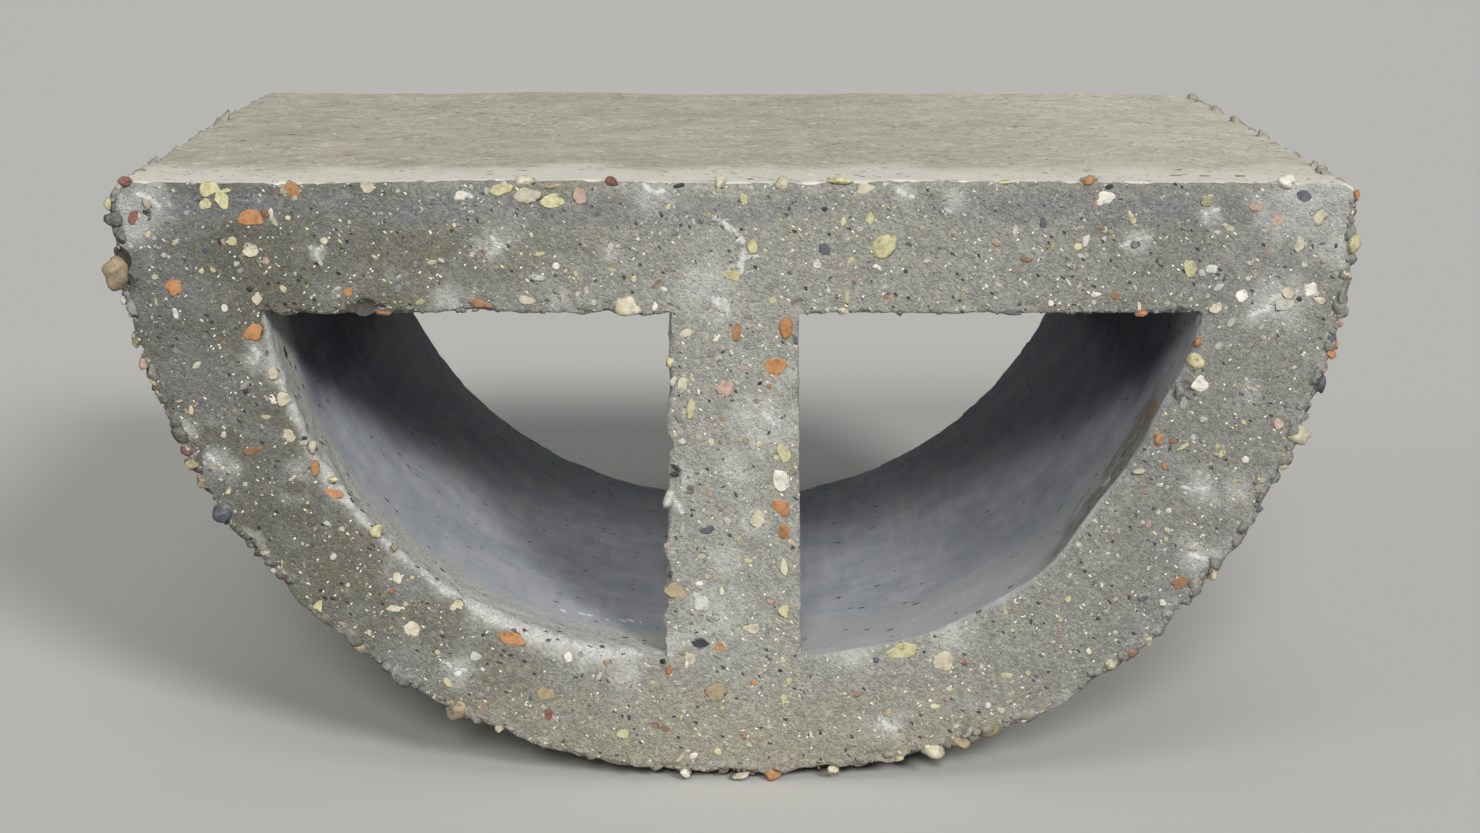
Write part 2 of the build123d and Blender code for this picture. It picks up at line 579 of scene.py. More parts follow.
def make_mesh(name, verts, polygons, attributes, normals=None):
    """A smooth mesh from arrays: polygons is a list of index arrays, each with one corner count."""
    mesh = bpy.data.meshes.new(name)
    mesh.vertices.add(len(verts))
    mesh.vertices.foreach_set("co", verts.astype(np.float32).ravel())
    loops = np.concatenate([p.ravel() for p in polygons]).astype(np.int32)
    sizes = np.concatenate([np.full(len(p), p.shape[1]) for p in polygons])
    starts = np.concatenate([[0], np.cumsum(sizes)[:-1]]).astype(np.int32)
    mesh.loops.add(len(loops))
    mesh.loops.foreach_set("vertex_index", loops)
    mesh.polygons.add(len(sizes))
    mesh.polygons.foreach_set("loop_start", starts)
    mesh.polygons.foreach_set("use_smooth", np.ones(len(sizes), bool))
    mesh.update(calc_edges=True)
    for key, values in attributes.items():
        if values.ndim == 1:
            mesh.attributes.new(key, "FLOAT", "POINT").data.foreach_set("value", values.astype(np.float32))
        else:
            rgba = np.concatenate([values, np.ones((len(values), 1))], 1).astype(np.float32)
            mesh.attributes.new(key, "FLOAT_COLOR", "POINT").data.foreach_set("color", rgba.ravel())
    if normals is not None:
        mesh.normals_split_custom_set_from_vertices(normals.astype(np.float32))
    return add_object(name, mesh)


def take_piece(s, name, quads, tris, normals, attributes):
    """One piece of the surface, with only the points that its faces use."""
    used = np.unique(np.concatenate([quads.ravel(), tris.ravel()]))
    renumber = np.zeros(len(s.moved), np.int64)
    renumber[used] = np.arange(len(used))
    polygons = [renumber[q] for q in (quads, tris) if len(q)]
    return make_mesh(name, s.moved[used], polygons, {k: v[used] for k, v in attributes.items()}, normals[used])


# Nodes

def node(tree, kind, inputs=None, **settings):
    n = tree.nodes.new("ShaderNode" + kind)
    for key, value in settings.items():
        setattr(n, key, value)
    for key, value in (inputs or {}).items():
        if isinstance(value, bpy.types.NodeSocket):
            tree.links.new(value, n.inputs[key])
        else:
            n.inputs[key].default_value = value
    return n


def calc(tree, operation, a, b):
    return node(tree, "Math", {0: a, 1: b}, operation=operation).outputs[0]


def chained(operation):
    """A sum, difference or product of two or more values."""
    def apply(tree, first, *others):
        for value in others:
            first = calc(tree, operation, first, value)
        return first
    return apply


plus, minus, times = (chained(operation) for operation in ("ADD", "SUBTRACT", "MULTIPLY"))


def remap(tree, value, low, high, to_low=0.0, to_high=1.0, smooth=True):
    return node(tree, "MapRange", {"Value": value, "From Min": low, "From Max": high,
                                   "To Min": to_low, "To Max": to_high},
                interpolation_type="SMOOTHSTEP" if smooth else "LINEAR").outputs["Result"]


def blend(tree, factor, a, b, mode="MIX"):
    """Mixes two colours."""
    n = node(tree, "Mix", data_type="RGBA", blend_type=mode)
    for key, value in ((0, factor), (6, a), (7, b)):
        if isinstance(value, bpy.types.NodeSocket):
            tree.links.new(value, n.inputs[key])
        else:
            n.inputs[key].default_value = value if key == 0 else (*value[:3], 1)
    return n.outputs[2]


def ramp(tree, factor, stops, constant=False):
    n = node(tree, "ValToRGB", {"Fac": factor})
    n.color_ramp.interpolation = "CONSTANT" if constant else "LINEAR"
    while len(n.color_ramp.elements) < len(stops):
        n.color_ramp.elements.new(0.5)
    for element, (place, colour) in zip(n.color_ramp.elements, stops):
        element.position = place
        element.color = (*colour, 1)
    return n.outputs["Color"]


def attribute(tree, name, output="Fac"):
    return node(tree, "Attribute", attribute_name=name).outputs[output]


def fog(tree, place, size, detail=3.0, rough=0.55):
    """Noise from 0 to 1 with features of a size in millimetres."""
    return node(tree, "TexNoise", {"Vector": place, "Scale": 1 / size, "Detail": detail,
                                   "Roughness": rough}).outputs["Fac"]


def grains(tree, place, size):
    """Random colour and distance from the middle of grains of a size in millimetres."""
    n = node(tree, "TexVoronoi", {"Vector": place, "Scale": 1 / size, "Randomness": 1.0})
    return node(tree, "SeparateColor", {"Color": n.outputs["Color"]}).outputs, n.outputs["Distance"]


def scaled(tree, place, factor):
    return node(tree, "VectorMath", {0: place, "Scale": factor}, operation="SCALE").outputs[0]


def mapped(tree, place, **settings):
    return node(tree, "Mapping", {"Vector": place, **settings}).outputs[0]


def axes(tree, place):
    return node(tree, "SeparateXYZ", {0: place}).outputs


def emboss(tree, shader, height, strength):
    """Lets a height in millimetres raise the surface a little."""
    bump = node(tree, "Bump", {"Height": height, "Strength": strength, "Distance": 0.6 * MM})
    tree.links.new(bump.outputs[0], shader.inputs["Normal"])


SHEEN = 0.3


def new_material(name, roughness):
    material = bpy.data.materials.new(name)
    material.use_nodes = True
    shader = material.node_tree.nodes["Principled BSDF"]
    shader.inputs["Roughness"].default_value = roughness
    shader.inputs["Specular IOR Level"].default_value = SHEEN
    return material, material.node_tree, shader


# Materials

OLIVE = (0.172, 0.169, 0.132)
GREY = (0.226, 0.229, 0.215)
PALER_SIDE = (0.285, 0.284, 0.258)
OLIVE_FOOT = (0.262, 0.246, 0.190)
FILM_GREY = (0.385, 0.39, 0.38)
LIME_WHITE = (0.66, 0.67, 0.66)
CLOUD_GREY = (0.47, 0.475, 0.455)
DECK_TONE = (0.505, 0.482, 0.400)
DECK_EDGE = (0.80, 0.78, 0.69)
BLUISH = (0.185, 0.195, 0.215)
CELL_BLUE = (0.385, 0.408, 0.455)
CELL_GREY = (0.475, 0.492, 0.520)
# painted shade: the cells' walls darker high up and deep inside, under the deck
CELL_SHADE = (0.42, 0.42, 0.44)
# dust at the left cell's mouth, paler also as painted light where the mouth is lit
DUST_AND_LIGHT = (0.46, 0.46, 0.445)
BEVEL_BROWN = (0.155, 0.145, 0.125)
BEVEL_OLIVE = (0.305, 0.300, 0.255)
LIP_GREY = (0.44, 0.45, 0.455)
# painted shade inside voids, blowholes and pits
HOLE_SHADE = (0.028, 0.029, 0.038)
GLINT_YELLOW, GLINT_WHITE, SPECK_PALE = (0.98, 0.94, 0.60), (1.0, 1.0, 0.95), (0.66, 0.65, 0.57)
STONE_SPECK, STONE_TOP = (0.80, 0.76, 0.48), (0.36, 0.345, 0.285)
RUN_WHITE = (0.86, 0.87, 0.86)
# painted shade for the hollows, chips and the beam's lower edge
HOLLOW_SHADE = (0.060, 0.056, 0.050)

# Shades for noise to darken and lighten a tone with
SAND = [(0, (0.78, 0.78, 0.81)), (0.5, (0.98, 0.98, 0.98)), (1, (1.25, 1.24, 1.18))]
FINE_SAND = [(0.3, (0.82, 0.82, 0.83)), (0.7, (1.20, 1.20, 1.17))]
DECK_CLOUD = [(0.35, (0.90, 0.90, 0.87)), (0.65, (1.09, 1.09, 1.10))]
DECK_MOTTLE = [(0.32, (0.80, 0.80, 0.82)), (0.68, (1.20, 1.19, 1.16))]
CELL_STREAK = [(0.3, (0.90, 0.90, 0.91)), (0.7, (1.08, 1.08, 1.07))]
CELL_FINE = [(0.3, (0.88, 0.88, 0.88)), (0.7, (1.12, 1.12, 1.12))]
STONE_MOTTLE = [(0.28, (0.50, 0.46, 0.44)), (0.48, (0.96, 0.95, 0.94)), (0.75, (1.26, 1.28, 1.32))]

# How dark the cement is from the left end of the block to the right, partly its own tone, partly painted light
# fading to the left
ACROSS_TONE_AND_LIGHT = [(0.0, (0.66, 0.66, 0.68)), (0.12, (0.76, 0.76, 0.77)), (0.25, (0.95, 0.95, 0.95)),
          (0.50, (1.17, 1.17, 1.16)), (0.66, (1.08, 1.08, 1.07)), (0.84, (0.86, 0.86, 0.88)),
          (1.0, (0.88, 0.88, 0.90))]

GRIT_TONES = [(0.0, (0.50, 0.49, 0.42)), (0.25, (0.56, 0.52, 0.30)), (0.45, (0.36, 0.33, 0.26)),
              (0.58, (0.34, 0.20, 0.14)), (0.66, (0.62, 0.61, 0.55)), (0.84, (0.12, 0.13, 0.15))]

# Grain size, share of the grains, colour, strength and the random number that picks them
DECK_FLECKS = [(4.6, 0.045, (0.78, 0.74, 0.56), 0.75, 0), (3.6, 0.04, (0.36, 0.22, 0.18), 0.60, 1),
               (3.2, 0.035, (0.14, 0.135, 0.135), 0.75, 2), (2.0, 0.055, (0.86, 0.82, 0.66), 0.75, 1),
               (1.7, 0.045, (0.18, 0.17, 0.16), 0.70, 2), (2.6, 0.035, (0.34, 0.33, 0.36), 0.60, 0)]


def millimetres(t):
    """The block's own coordinates in millimetres."""
    return scaled(t, node(t, "TexCoord").outputs["Object"], 1000.0)


def warped(t, mm):
    """Coordinates bent by noise, so that grains lose their round outlines."""
    push = scaled(t, node(t, "TexNoise", {"Vector": mm, "Scale": 0.9, "Detail": 2.0}).outputs["Color"], 1.6)
    return node(t, "VectorMath", {0: mm, 1: push}, operation="ADD").outputs[0]


def leaning(t, mm, degrees, squash):
    """Coordinates that stretch grains along a slanting line of the end view."""
    return mapped(t, mapped(t, mm, Rotation=(0, math.radians(degrees), 0)), Scale=(squash, 1, 1))


def opposite(t, value):
    return minus(t, 1.0, value)


def ragged(t, amount, mm, size, spread, low, high):
    """Turns a soft patch into one with a torn outline. The patch may be the name of a point attribute."""
    amount = attribute(t, amount) if isinstance(amount, str) else amount
    torn = times(t, minus(t, fog(t, mm, size, 5, 0.68), 0.5), spread)
    return remap(t, plus(t, amount, torn), low, high)


def shaded(t, tone, by, shades, share=1.0):
    """Darkens and lightens a tone."""
    return blend(t, share, tone, ramp(t, by, shades), "MULTIPLY")


def matrix_tone(t, mm):
    """Cement and sand: olive and grey in clouds, paler from the web to the right, partly as painted light from
    the right.
    """
    tone = blend(t, remap(t, fog(t, mm, 24, 4, 0.6), 0.38, 0.62), OLIVE, GREY)
    across, along, high = axes(t, mm)
    tone = blend(t, remap(t, across, -130, 10, 0.0, 0.75), tone, PALER_SIDE)
    tone = blend(t, remap(t, high, 46, 4, 0.0, 0.75), tone, OLIVE_FOOT)
    # the front end darker at its left: partly the cement's tone, partly painted shade
    at_front = shaded(t, tone, remap(t, across, -200, 200, 0, 1, False), ACROSS_TONE_AND_LIGHT)
    return blend(t, remap(t, along, -60, -148), tone, at_front)


def grained(t, tone, place, loud):
    """Sand laid over a tone; also how far each point is from the middle of its grain."""
    rnd, dist = grains(t, place, 0.75)
    tone = shaded(t, tone, rnd[0], SAND, loud)
    return shaded(t, tone, fog(t, place, 0.4, 2), FINE_SAND, loud), dist


def coated(t, tone, amount, coat, place, loud):
    """Lays a sandy coat over a tone."""
    return blend(t, amount, tone, grained(t, coat, place, loud)[0])


def sprinkled(t, tone, place, size, share, radius, colour, strength, channel=0):
    """Grains of one colour over a share of a tone; also where they are."""
    rnd, dist = grains(t, place, size)
    here = times(t, remap(t, rnd[channel], 1 - share, 1.005 - share), remap(t, dist, radius, radius * 0.7))
    return blend(t, times(t, here, strength), tone, colour), here


def end_tone(t, mm, bent, slant):
    """The end faces and the belly: sandy cement with grit, glints, and voids darkened with painted shade."""
    tone, dist = grained(t, matrix_tone(t, mm), slant, 1.0)
    rnd, away = grains(t, bent, 2.6)
    torn = plus(t, away, times(t, rnd[2], 0.16))
    coarse = times(t, remap(t, rnd[0], 0.86, 0.87), remap(t, torn, 0.42, 0.32))
    tone = blend(t, times(t, coarse, 0.72), tone, ramp(t, rnd[1], GRIT_TONES, True))
    tone, _ = sprinkled(t, tone, leaning(t, mm, -38, 0.42), 0.95, 0.042, 0.34, GLINT_YELLOW, 0.85)
    tone, _ = sprinkled(t, tone, leaning(t, mm, 46, 0.5), 0.85, 0.045, 0.34, GLINT_WHITE, 0.85)
    tone, _ = sprinkled(t, tone, bent, 0.95, 0.05, 0.36, SPECK_PALE, 0.75)
    # voids: small holes filled with painted shade
    tone, pit = sprinkled(t, tone, leaning(t, bent, -30, 0.6), 1.5, 0.075, 0.36, HOLE_SHADE, 0.85)
    return tone, dist, coarse, pit


def deck_tone(t, mm, bent):
    """The deck: smooth beige cement with flecks, paler along its edges and to the right."""
    tone = shaded(t, DECK_TONE, fog(t, mm, 34, 4, 0.6), DECK_CLOUD)
    tone = blend(t, remap(t, axes(t, mm)[0], 20, 180, 0.0, 0.35), tone, DECK_EDGE)
    tone = shaded(t, tone, fog(t, mm, 7, 5, 0.75), DECK_MOTTLE)
    tone, _ = grained(t, tone, mm, 0.6)
    tone = blend(t, times(t, ragged(t, "pale", mm, 9, 0.9, 0.20, 1.05), 0.9), tone, DECK_EDGE)
    for size, share, colour, strength, channel in DECK_FLECKS:
        tone, _ = sprinkled(t, tone, bent, size, share, 0.44, colour, strength, channel)
    return tone


def cell_pits(t, mm, bent, wall):
    """Blowholes of the cells' walls, more of them where the wall is crumbly, to be filled with painted shade.
    """
    patch = times(t, remap(t, fog(t, mm, 16, 3), 0.45, 0.65), 0.07)
    least = minus(t, 0.985, patch, times(t, attribute(t, "crumbly"), 0.17))
    rnd, dist = grains(t, mapped(t, bent, Scale=(0.7, 1.2, 0.9)), 2.5)
    edge = plus(t, dist, times(t, rnd[1], 0.24))
    return times(t, calc(t, "GREATER_THAN", rnd[0], least), remap(t, edge, 0.46, 0.33), wall)


def cell_tone(t, mm, bent, tone):
    """The cells' smooth walls, with a dusty mouth that painted light makes paler on one side, a darker bevel on
    the other, and painted shade high up deep inside.
    """
    smooth = blend(t, remap(t, fog(t, mm, 20, 4, 0.6), 0.35, 0.65), CELL_BLUE, CELL_GREY)
    sweep = mapped(t, mm, Scale=(1, 0.12, 1))
    smooth = shaded(t, smooth, fog(t, sweep, 5, 3, 0.55), CELL_STREAK)
    smooth = shaded(t, smooth, fog(t, mm, 0.9, 3), CELL_FINE)
    # painted shade high on the cells' walls, deep inside where the deck shades them
    smooth = blend(t, ragged(t, "upper_cell_shade", mm, 22, 0.7, 0.15, 0.85), smooth,
                   blend(t, 1.0, smooth, CELL_SHADE, "MULTIPLY"))
    # the left cell's mouth: dust, and painted light where its front is lit
    smooth = coated(t, smooth, ragged(t, "dust_and_light", sweep, 10, 1.5, 0.15, 0.95), DUST_AND_LIGHT, mm, 1.0)
    smooth = coated(t, smooth, times(t, attribute(t, "lip"), 0.85), LIP_GREY, mm, 0.35)
    mould = blend(t, remap(t, fog(t, mm, 6, 4, 0.65), 0.42, 0.60), BEVEL_BROWN, BEVEL_OLIVE)
    bevel = times(t, ragged(t, "bevel", mm, 9, 2.2, 0.05, 1.20), 0.80)
    smooth = coated(t, smooth, bevel, mould, mm, 1.0)
    wall = times(t, attribute(t, "cell"), opposite(t, remap(t, attribute(t, "end"), 0.62, 0.98)))
    pit = cell_pits(t, mm, bent, wall)
    # the blowholes are filled with painted shade
    return blend(t, times(t, pit, 0.9), blend(t, wall, tone, smooth), HOLE_SHADE), wall, pit


def end_coats(t, tone, mm, bent, slant):
    """Dull patches, cement film in blotches and along the rims, grey clouds and whiter lime."""
    tone = coated(t, tone, times(t, ragged(t, "dull", mm, 9, 0.5, 0.2, 0.8), 0.46), BLUISH, slant, 1.0)
    blotch = times(t, remap(t, fog(t, mm, 9, 5, 0.68), 0.58, 0.70), 0.32)
    rim = times(t, ragged(t, ragged(t, "film", mm, 11, 1.3, 0.30, 1.00), mm, 2.6, 1.5, 0.30, 0.90), 0.54)
    tone = coated(t, tone, calc(t, "MAXIMUM", blotch, rim), FILM_GREY, slant, 0.55)
    cloud = times(t, ragged(t, "cloud", slant, 9, 2.0, 0.10, 1.15), 0.74)
    tone = coated(t, tone, cloud, CLOUD_GREY, slant, 0.60)
    lime = times(t, ragged(t, "lime", bent, 2.4, 1.8, 0.42, 0.98), 0.85)
    return coated(t, tone, lime, LIME_WHITE, slant, 0.40)


def concrete_material():
    material, t, shader = new_material("concrete", 0.88)
    mm = millimetres(t)
    bent, slant = warped(t, mm), leaning(t, mm, -40, 0.72)
    tone, dist, coarse, pit = end_tone(t, mm, bent, slant)
    tone = end_coats(t, tone, mm, bent, slant)
    deck = ragged(t, "deck", mm, 4, 1.1, 0.38, 0.56)
    tone = blend(t, deck, tone, deck_tone(t, mm, bent))
    tone, wall, hole = cell_tone(t, mm, bent, tone)
    tone = blend(t, times(t, ragged(t, "streak", bent, 1.6, 0.8, 0.4, 0.6), 0.9), tone, RUN_WHITE)
    # painted shade in the hollows and chips and along the beam's lower edge
    tone = blend(t, times(t, ragged(t, "dark", mm, 2.5, 0.8, 0.4, 0.7), 0.75), tone, HOLLOW_SHADE)
    t.links.new(tone, shader.inputs["Base Color"])
    height = plus(t, times(t, fog(t, slant, 0.7, 3, 0.62), 1.1), times(t, remap(t, dist, 0.5, 0.0), 0.55),
                  times(t, coarse, 0.35))
    height = times(t, minus(t, height, times(t, pit, 1.4)), opposite(t, times(t, wall, 0.86)),
                   opposite(t, times(t, deck, 0.55)))
    emboss(t, shader, minus(t, height, times(t, hole, 1.6)), 0.75)
    return material


def gravel_material():
    """Stones in their own colours, with more or less of the cement left on them."""
    material, t, shader = new_material("gravel", 0.62)
    mm = millimetres(t)
    slant = leaning(t, mm, -40, 0.72)
    tone = shaded(t, attribute(t, "tone", "Color"), fog(t, mm, 2.4, 5, 0.7), STONE_MOTTLE)
    cement, _ = grained(t, matrix_tone(t, mm), slant, 1.0)
    cement, _ = sprinkled(t, cement, leaning(t, mm, -38, 0.42), 1.05, 0.055, 0.34, STONE_SPECK, 0.7)
    thin = times(t, remap(t, fog(t, mm, 5, 4, 0.6), 0.45, 0.65), 0.6)
    cement = blend(t, thin, cement, FILM_GREY)
    cement = blend(t, remap(t, axes(t, mm)[2], 194.5, 198.5), cement, STONE_TOP)
    rim = times(t, calc(t, "POWER", attribute(t, "rim"), 2.0), 0.34)
    wear = plus(t, fog(t, mm, 2.0, 5, 0.66), rim, minus(t, attribute(t, "film"), 0.5))
    cover = remap(t, wear, 0.50, 0.58)
    t.links.new(blend(t, cover, tone, cement), shader.inputs["Base Color"])
    t.links.new(remap(t, cover, 0, 1, 0.55, 0.9), shader.inputs["Roughness"])
    sandy = times(t, cover, plus(t, 0.5, fog(t, slant, 0.6, 3)))
    emboss(t, shader, plus(t, times(t, fog(t, mm, 0.9, 3), 0.5), sandy), 0.8)
    return material


# Gravel

TONES = {
    "orange": (0.43, 0.215, 0.095), "rust": (0.29, 0.16, 0.09), "red": (0.25, 0.115, 0.09),
    "tan": (0.38, 0.31, 0.20), "cream": (0.56, 0.52, 0.39), "yellow": (0.54, 0.51, 0.30),
    "pink": (0.44, 0.32, 0.26), "white": (0.74, 0.72, 0.64), "pale": (0.52, 0.52, 0.47),
    "grey": (0.26, 0.26, 0.25), "brown": (0.22, 0.15, 0.10), "olive": (0.33, 0.31, 0.17),
    "blue": (0.115, 0.125, 0.15), "black": (0.045, 0.045, 0.052),
}

# Stones that the picture shows on the front end: x, y, width, height in its pixels
STONES = {
    "orange": [(250, 218, 26, 15), (291, 193, 16, 25), (174, 287, 16, 17), (349, 293, 11, 10),
        (254, 332, 21, 17), (330, 495, 24, 13), (314, 469, 10, 17), (737, 332, 9, 17), (775, 367, 24, 18),
        (781, 508, 18, 15), (784, 531, 12, 15), (773, 775, 19, 14), (1090, 177, 20, 12), (1163, 414, 10, 20),
        (1159, 441, 14, 16), (1198, 343, 9, 11), (1336, 356, 12, 10), (1142, 314, 13, 7), (720, 647, 12, 9),
        (669, 670, 7, 10), (510, 639, 27, 14), (886, 297, 6, 6), (1357, 196, 6, 12), (754, 682, 6, 8),
        (787, 330, 15, 26)],
    "rust": [(265, 214, 9, 8), (252, 451, 26, 7), (1181, 583, 19, 13), (660, 726, 19, 8), (480, 304, 24, 11),
        (383, 313, 20, 8), (1173, 440, 11, 8), (1140, 661, 13, 13), (1115, 296, 10, 8), (750, 179, 7, 6),
        (769, 386, 5, 6), (391, 591, 6, 8), (1252, 551, 6, 10), (1026, 259, 10, 5)],
    "red": [(124, 172, 16, 9), (133, 217, 10, 16), (188, 452, 16, 12), (612, 182, 16, 10), (549, 713, 8, 13),
        (854, 282, 5, 5), (964, 663, 8, 6), (1240, 177, 11, 8)],
    "tan": [(108, 276, 27, 34), (186, 468, 16, 13), (456, 713, 29, 26), (481, 713, 8, 14), (545, 694, 21, 14),
        (394, 548, 8, 8), (716, 692, 24, 18), (888, 712, 16, 10), (675, 591, 22, 16), (1204, 176, 11, 11),
        (1351, 303, 8, 10), (960, 748, 24, 14), (551, 187, 26, 11), (198, 485, 12, 16)],
    "cream": [(366, 187, 14, 12), (250, 250, 16, 13), (324, 241, 10, 8), (257, 298, 13, 15), (273, 374, 11, 14),
        (282, 399, 17, 14), (289, 437, 16, 14), (314, 447, 11, 15), (359, 498, 9, 8), (397, 578, 11, 13),
        (277, 571, 16, 6), (393, 609, 14, 8), (411, 629, 18, 15), (524, 183, 19, 16), (527, 195, 24, 18),
        (720, 185, 14, 19), (783, 186, 18, 16), (868, 193, 20, 18), (628, 306, 30, 19), (684, 384, 14, 12),
        (685, 333, 13, 12), (757, 520, 18, 18), (751, 628, 17, 13), (690, 659, 12, 13), (738, 786, 20, 8),
        (834, 783, 16, 10), (942, 662, 25, 22), (1089, 651, 8, 8), (1111, 664, 12, 11), (1155, 648, 12, 12),
        (934, 755, 28, 18), (1300, 436, 24, 20), (1139, 472, 13, 7), (1169, 511, 6, 6), (1226, 583, 10, 16),
        (1320, 217, 14, 15), (1300, 245, 10, 16), (1216, 308, 12, 12), (1288, 293, 13, 11), (496, 737, 11, 11),
        (843, 311, 14, 8), (526, 300, 20, 9), (784, 568, 8, 18)],
    "yellow": [(209, 188, 19, 17), (222, 200, 17, 17), (205, 204, 13, 13), (232, 241, 13, 8), (201, 271, 6, 6),
        (213, 270, 6, 6), (288, 218, 7, 5), (335, 479, 13, 6), (218, 465, 10, 4), (228, 492, 6, 6),
        (376, 532, 17, 15), (412, 578, 5, 5), (317, 606, 14, 18), (458, 605, 11, 11), (501, 189, 23, 10),
        (553, 201, 24, 13), (454, 225, 5, 5), (634, 279, 6, 8), (668, 207, 5, 8), (744, 199, 8, 12),
        (840, 176, 30, 8), (843, 222, 6, 10), (870, 218, 9, 13), (884, 246, 26, 21), (840, 265, 4, 5),
        (752, 246, 9, 14), (733, 276, 18, 12), (691, 408, 9, 20), (671, 362, 10, 15), (759, 444, 8, 7),
        (784, 453, 14, 19), (748, 561, 11, 6), (784, 611, 10, 14), (789, 680, 7, 12), (784, 698, 9, 12),
        (624, 733, 15, 9), (718, 752, 9, 8), (901, 651, 34, 15), (1067, 599, 9, 8), (1115, 488, 16, 13),
        (1222, 454, 8, 10), (1290, 470, 10, 6), (1190, 268, 14, 17), (1078, 247, 9, 7), (1105, 230, 6, 8),
        (1005, 181, 13, 4), (1176, 176, 12, 10), (1355, 245, 15, 23), (103, 204, 8, 14), (1197, 362, 20, 18),
        (901, 768, 12, 6)],
    "pink": [(265, 261, 9, 9), (580, 195, 14, 18), (724, 388, 16, 16), (744, 368, 12, 6), (710, 493, 7, 9),
        (665, 546, 9, 9), (1103, 510, 15, 10), (1279, 424, 10, 13), (1256, 207, 16, 11), (1278, 220, 12, 13),
        (607, 664, 8, 8), (137, 365, 10, 14), (1344, 323, 8, 12), (922, 228, 7, 5), (1292, 151, 12, 6)],
    "white": [(461, 196, 12, 12), (225, 308, 8, 8), (655, 306, 6, 13), (781, 482, 15, 27), (635, 763, 11, 12),
        (685, 780, 14, 14), (1105, 199, 22, 16), (992, 184, 10, 6), (1288, 177, 20, 14), (1243, 296, 13, 12),
        (1311, 290, 14, 16), (1199, 384, 18, 15), (1027, 725, 12, 10), (986, 286, 4, 4), (1051, 303, 6, 8),
        (1095, 295, 12, 5), (811, 734, 4, 8), (811, 175, 8, 7), (700, 583, 10, 5), (568, 657, 10, 11),
        (1246, 460, 9, 9), (875, 266, 7, 5), (638, 238, 7, 6)],
    "pale": [(701, 603, 16, 18), (669, 501, 13, 22), (682, 441, 12, 9), (1211, 269, 13, 9), (1282, 302, 20, 20),
        (722, 306, 14, 14), (817, 264, 11, 9), (475, 656, 12, 12), (108, 304, 8, 9), (1163, 603, 8, 7)],
    "grey": [(1176, 391, 15, 22), (1183, 404, 9, 12)],
    "olive": [(1207, 201, 13, 12), (135, 343, 9, 13), (1110, 232, 5, 5)],
    "blue": [(707, 530, 14, 8), (824, 249, 12, 13), (1043, 222, 8, 12), (1304, 196, 13, 12),
        (1320, 384, 14, 25), (1010, 312, 22, 8), (1143, 598, 12, 5), (1270, 516, 10, 6), (219, 515, 19, 19),
        (795, 340, 6, 11), (876, 659, 7, 7), (207, 250, 8, 7), (313, 543, 6, 7)],
    # the black ones are pits: flat dark inlays of painted shade in small holes
    "black": [(700, 643, 20, 8), (663, 661, 8, 6), (780, 670, 5, 4), (1299, 299, 6, 6), (304, 440, 5, 9),
        (145, 212, 6, 5), (220, 241, 7, 9), (250, 289, 7, 6), (444, 700, 4, 5), (483, 635, 4, 4),
        (679, 186, 11, 6), (824, 209, 6, 5), (760, 383, 5, 4), (333, 599, 8, 3), (295, 368, 6, 4),
        (285, 352, 6, 12), (246, 390, 6, 7), (1109, 187, 8, 6), (675, 475, 12, 5), (924, 652, 3, 3)],
}
PROUD = {(108, 276): 3.2, (1355, 245): 2.4, (219, 515): 3.2, (456, 713): 1.2, (884, 246): 0.9, (1300, 436): 2.0,
         (124, 172): 1.6, (103, 204): 1.6, (1176, 391): 0.5, (934, 755): 2.0, (960, 748): 1.5, (833, 783): 1.5,
         (612, 182): 1.2, (1090, 177): 1.2, (628, 306): 1.2, (480, 304): 1.4, (787, 330): 1.2}


BURIED = -0.35                   # where a stone's buried part is cut flat, in radii


def template(subdivisions, cut=True):
    """A ball, with its buried third cut flat or whole, as directions and triangles."""
    bm = bmesh.new()
    bmesh.ops.create_icosphere(bm, subdivisions=subdivisions, radius=1.0)
    if cut:
        geom = bm.verts[:] + bm.edges[:] + bm.faces[:]
        bmesh.ops.bisect_plane(bm, geom=geom, plane_co=(0, 0, BURIED), plane_no=(0, 0, 1), clear_inner=True)
        bmesh.ops.holes_fill(bm, edges=[e for e in bm.edges if e.is_boundary])
    bmesh.ops.triangulate(bm, faces=bm.faces[:])
    bm.verts.index_update()
    points = np.array([v.co[:] for v in bm.verts])
    tris = np.array([[v.index for v in f.verts] for f in bm.faces])
    bm.free()
    return points, tris


STONE_CUTS, CUT_DEPTH, STONE_WOBBLE = 8, (0.62, 0.95), 0.15


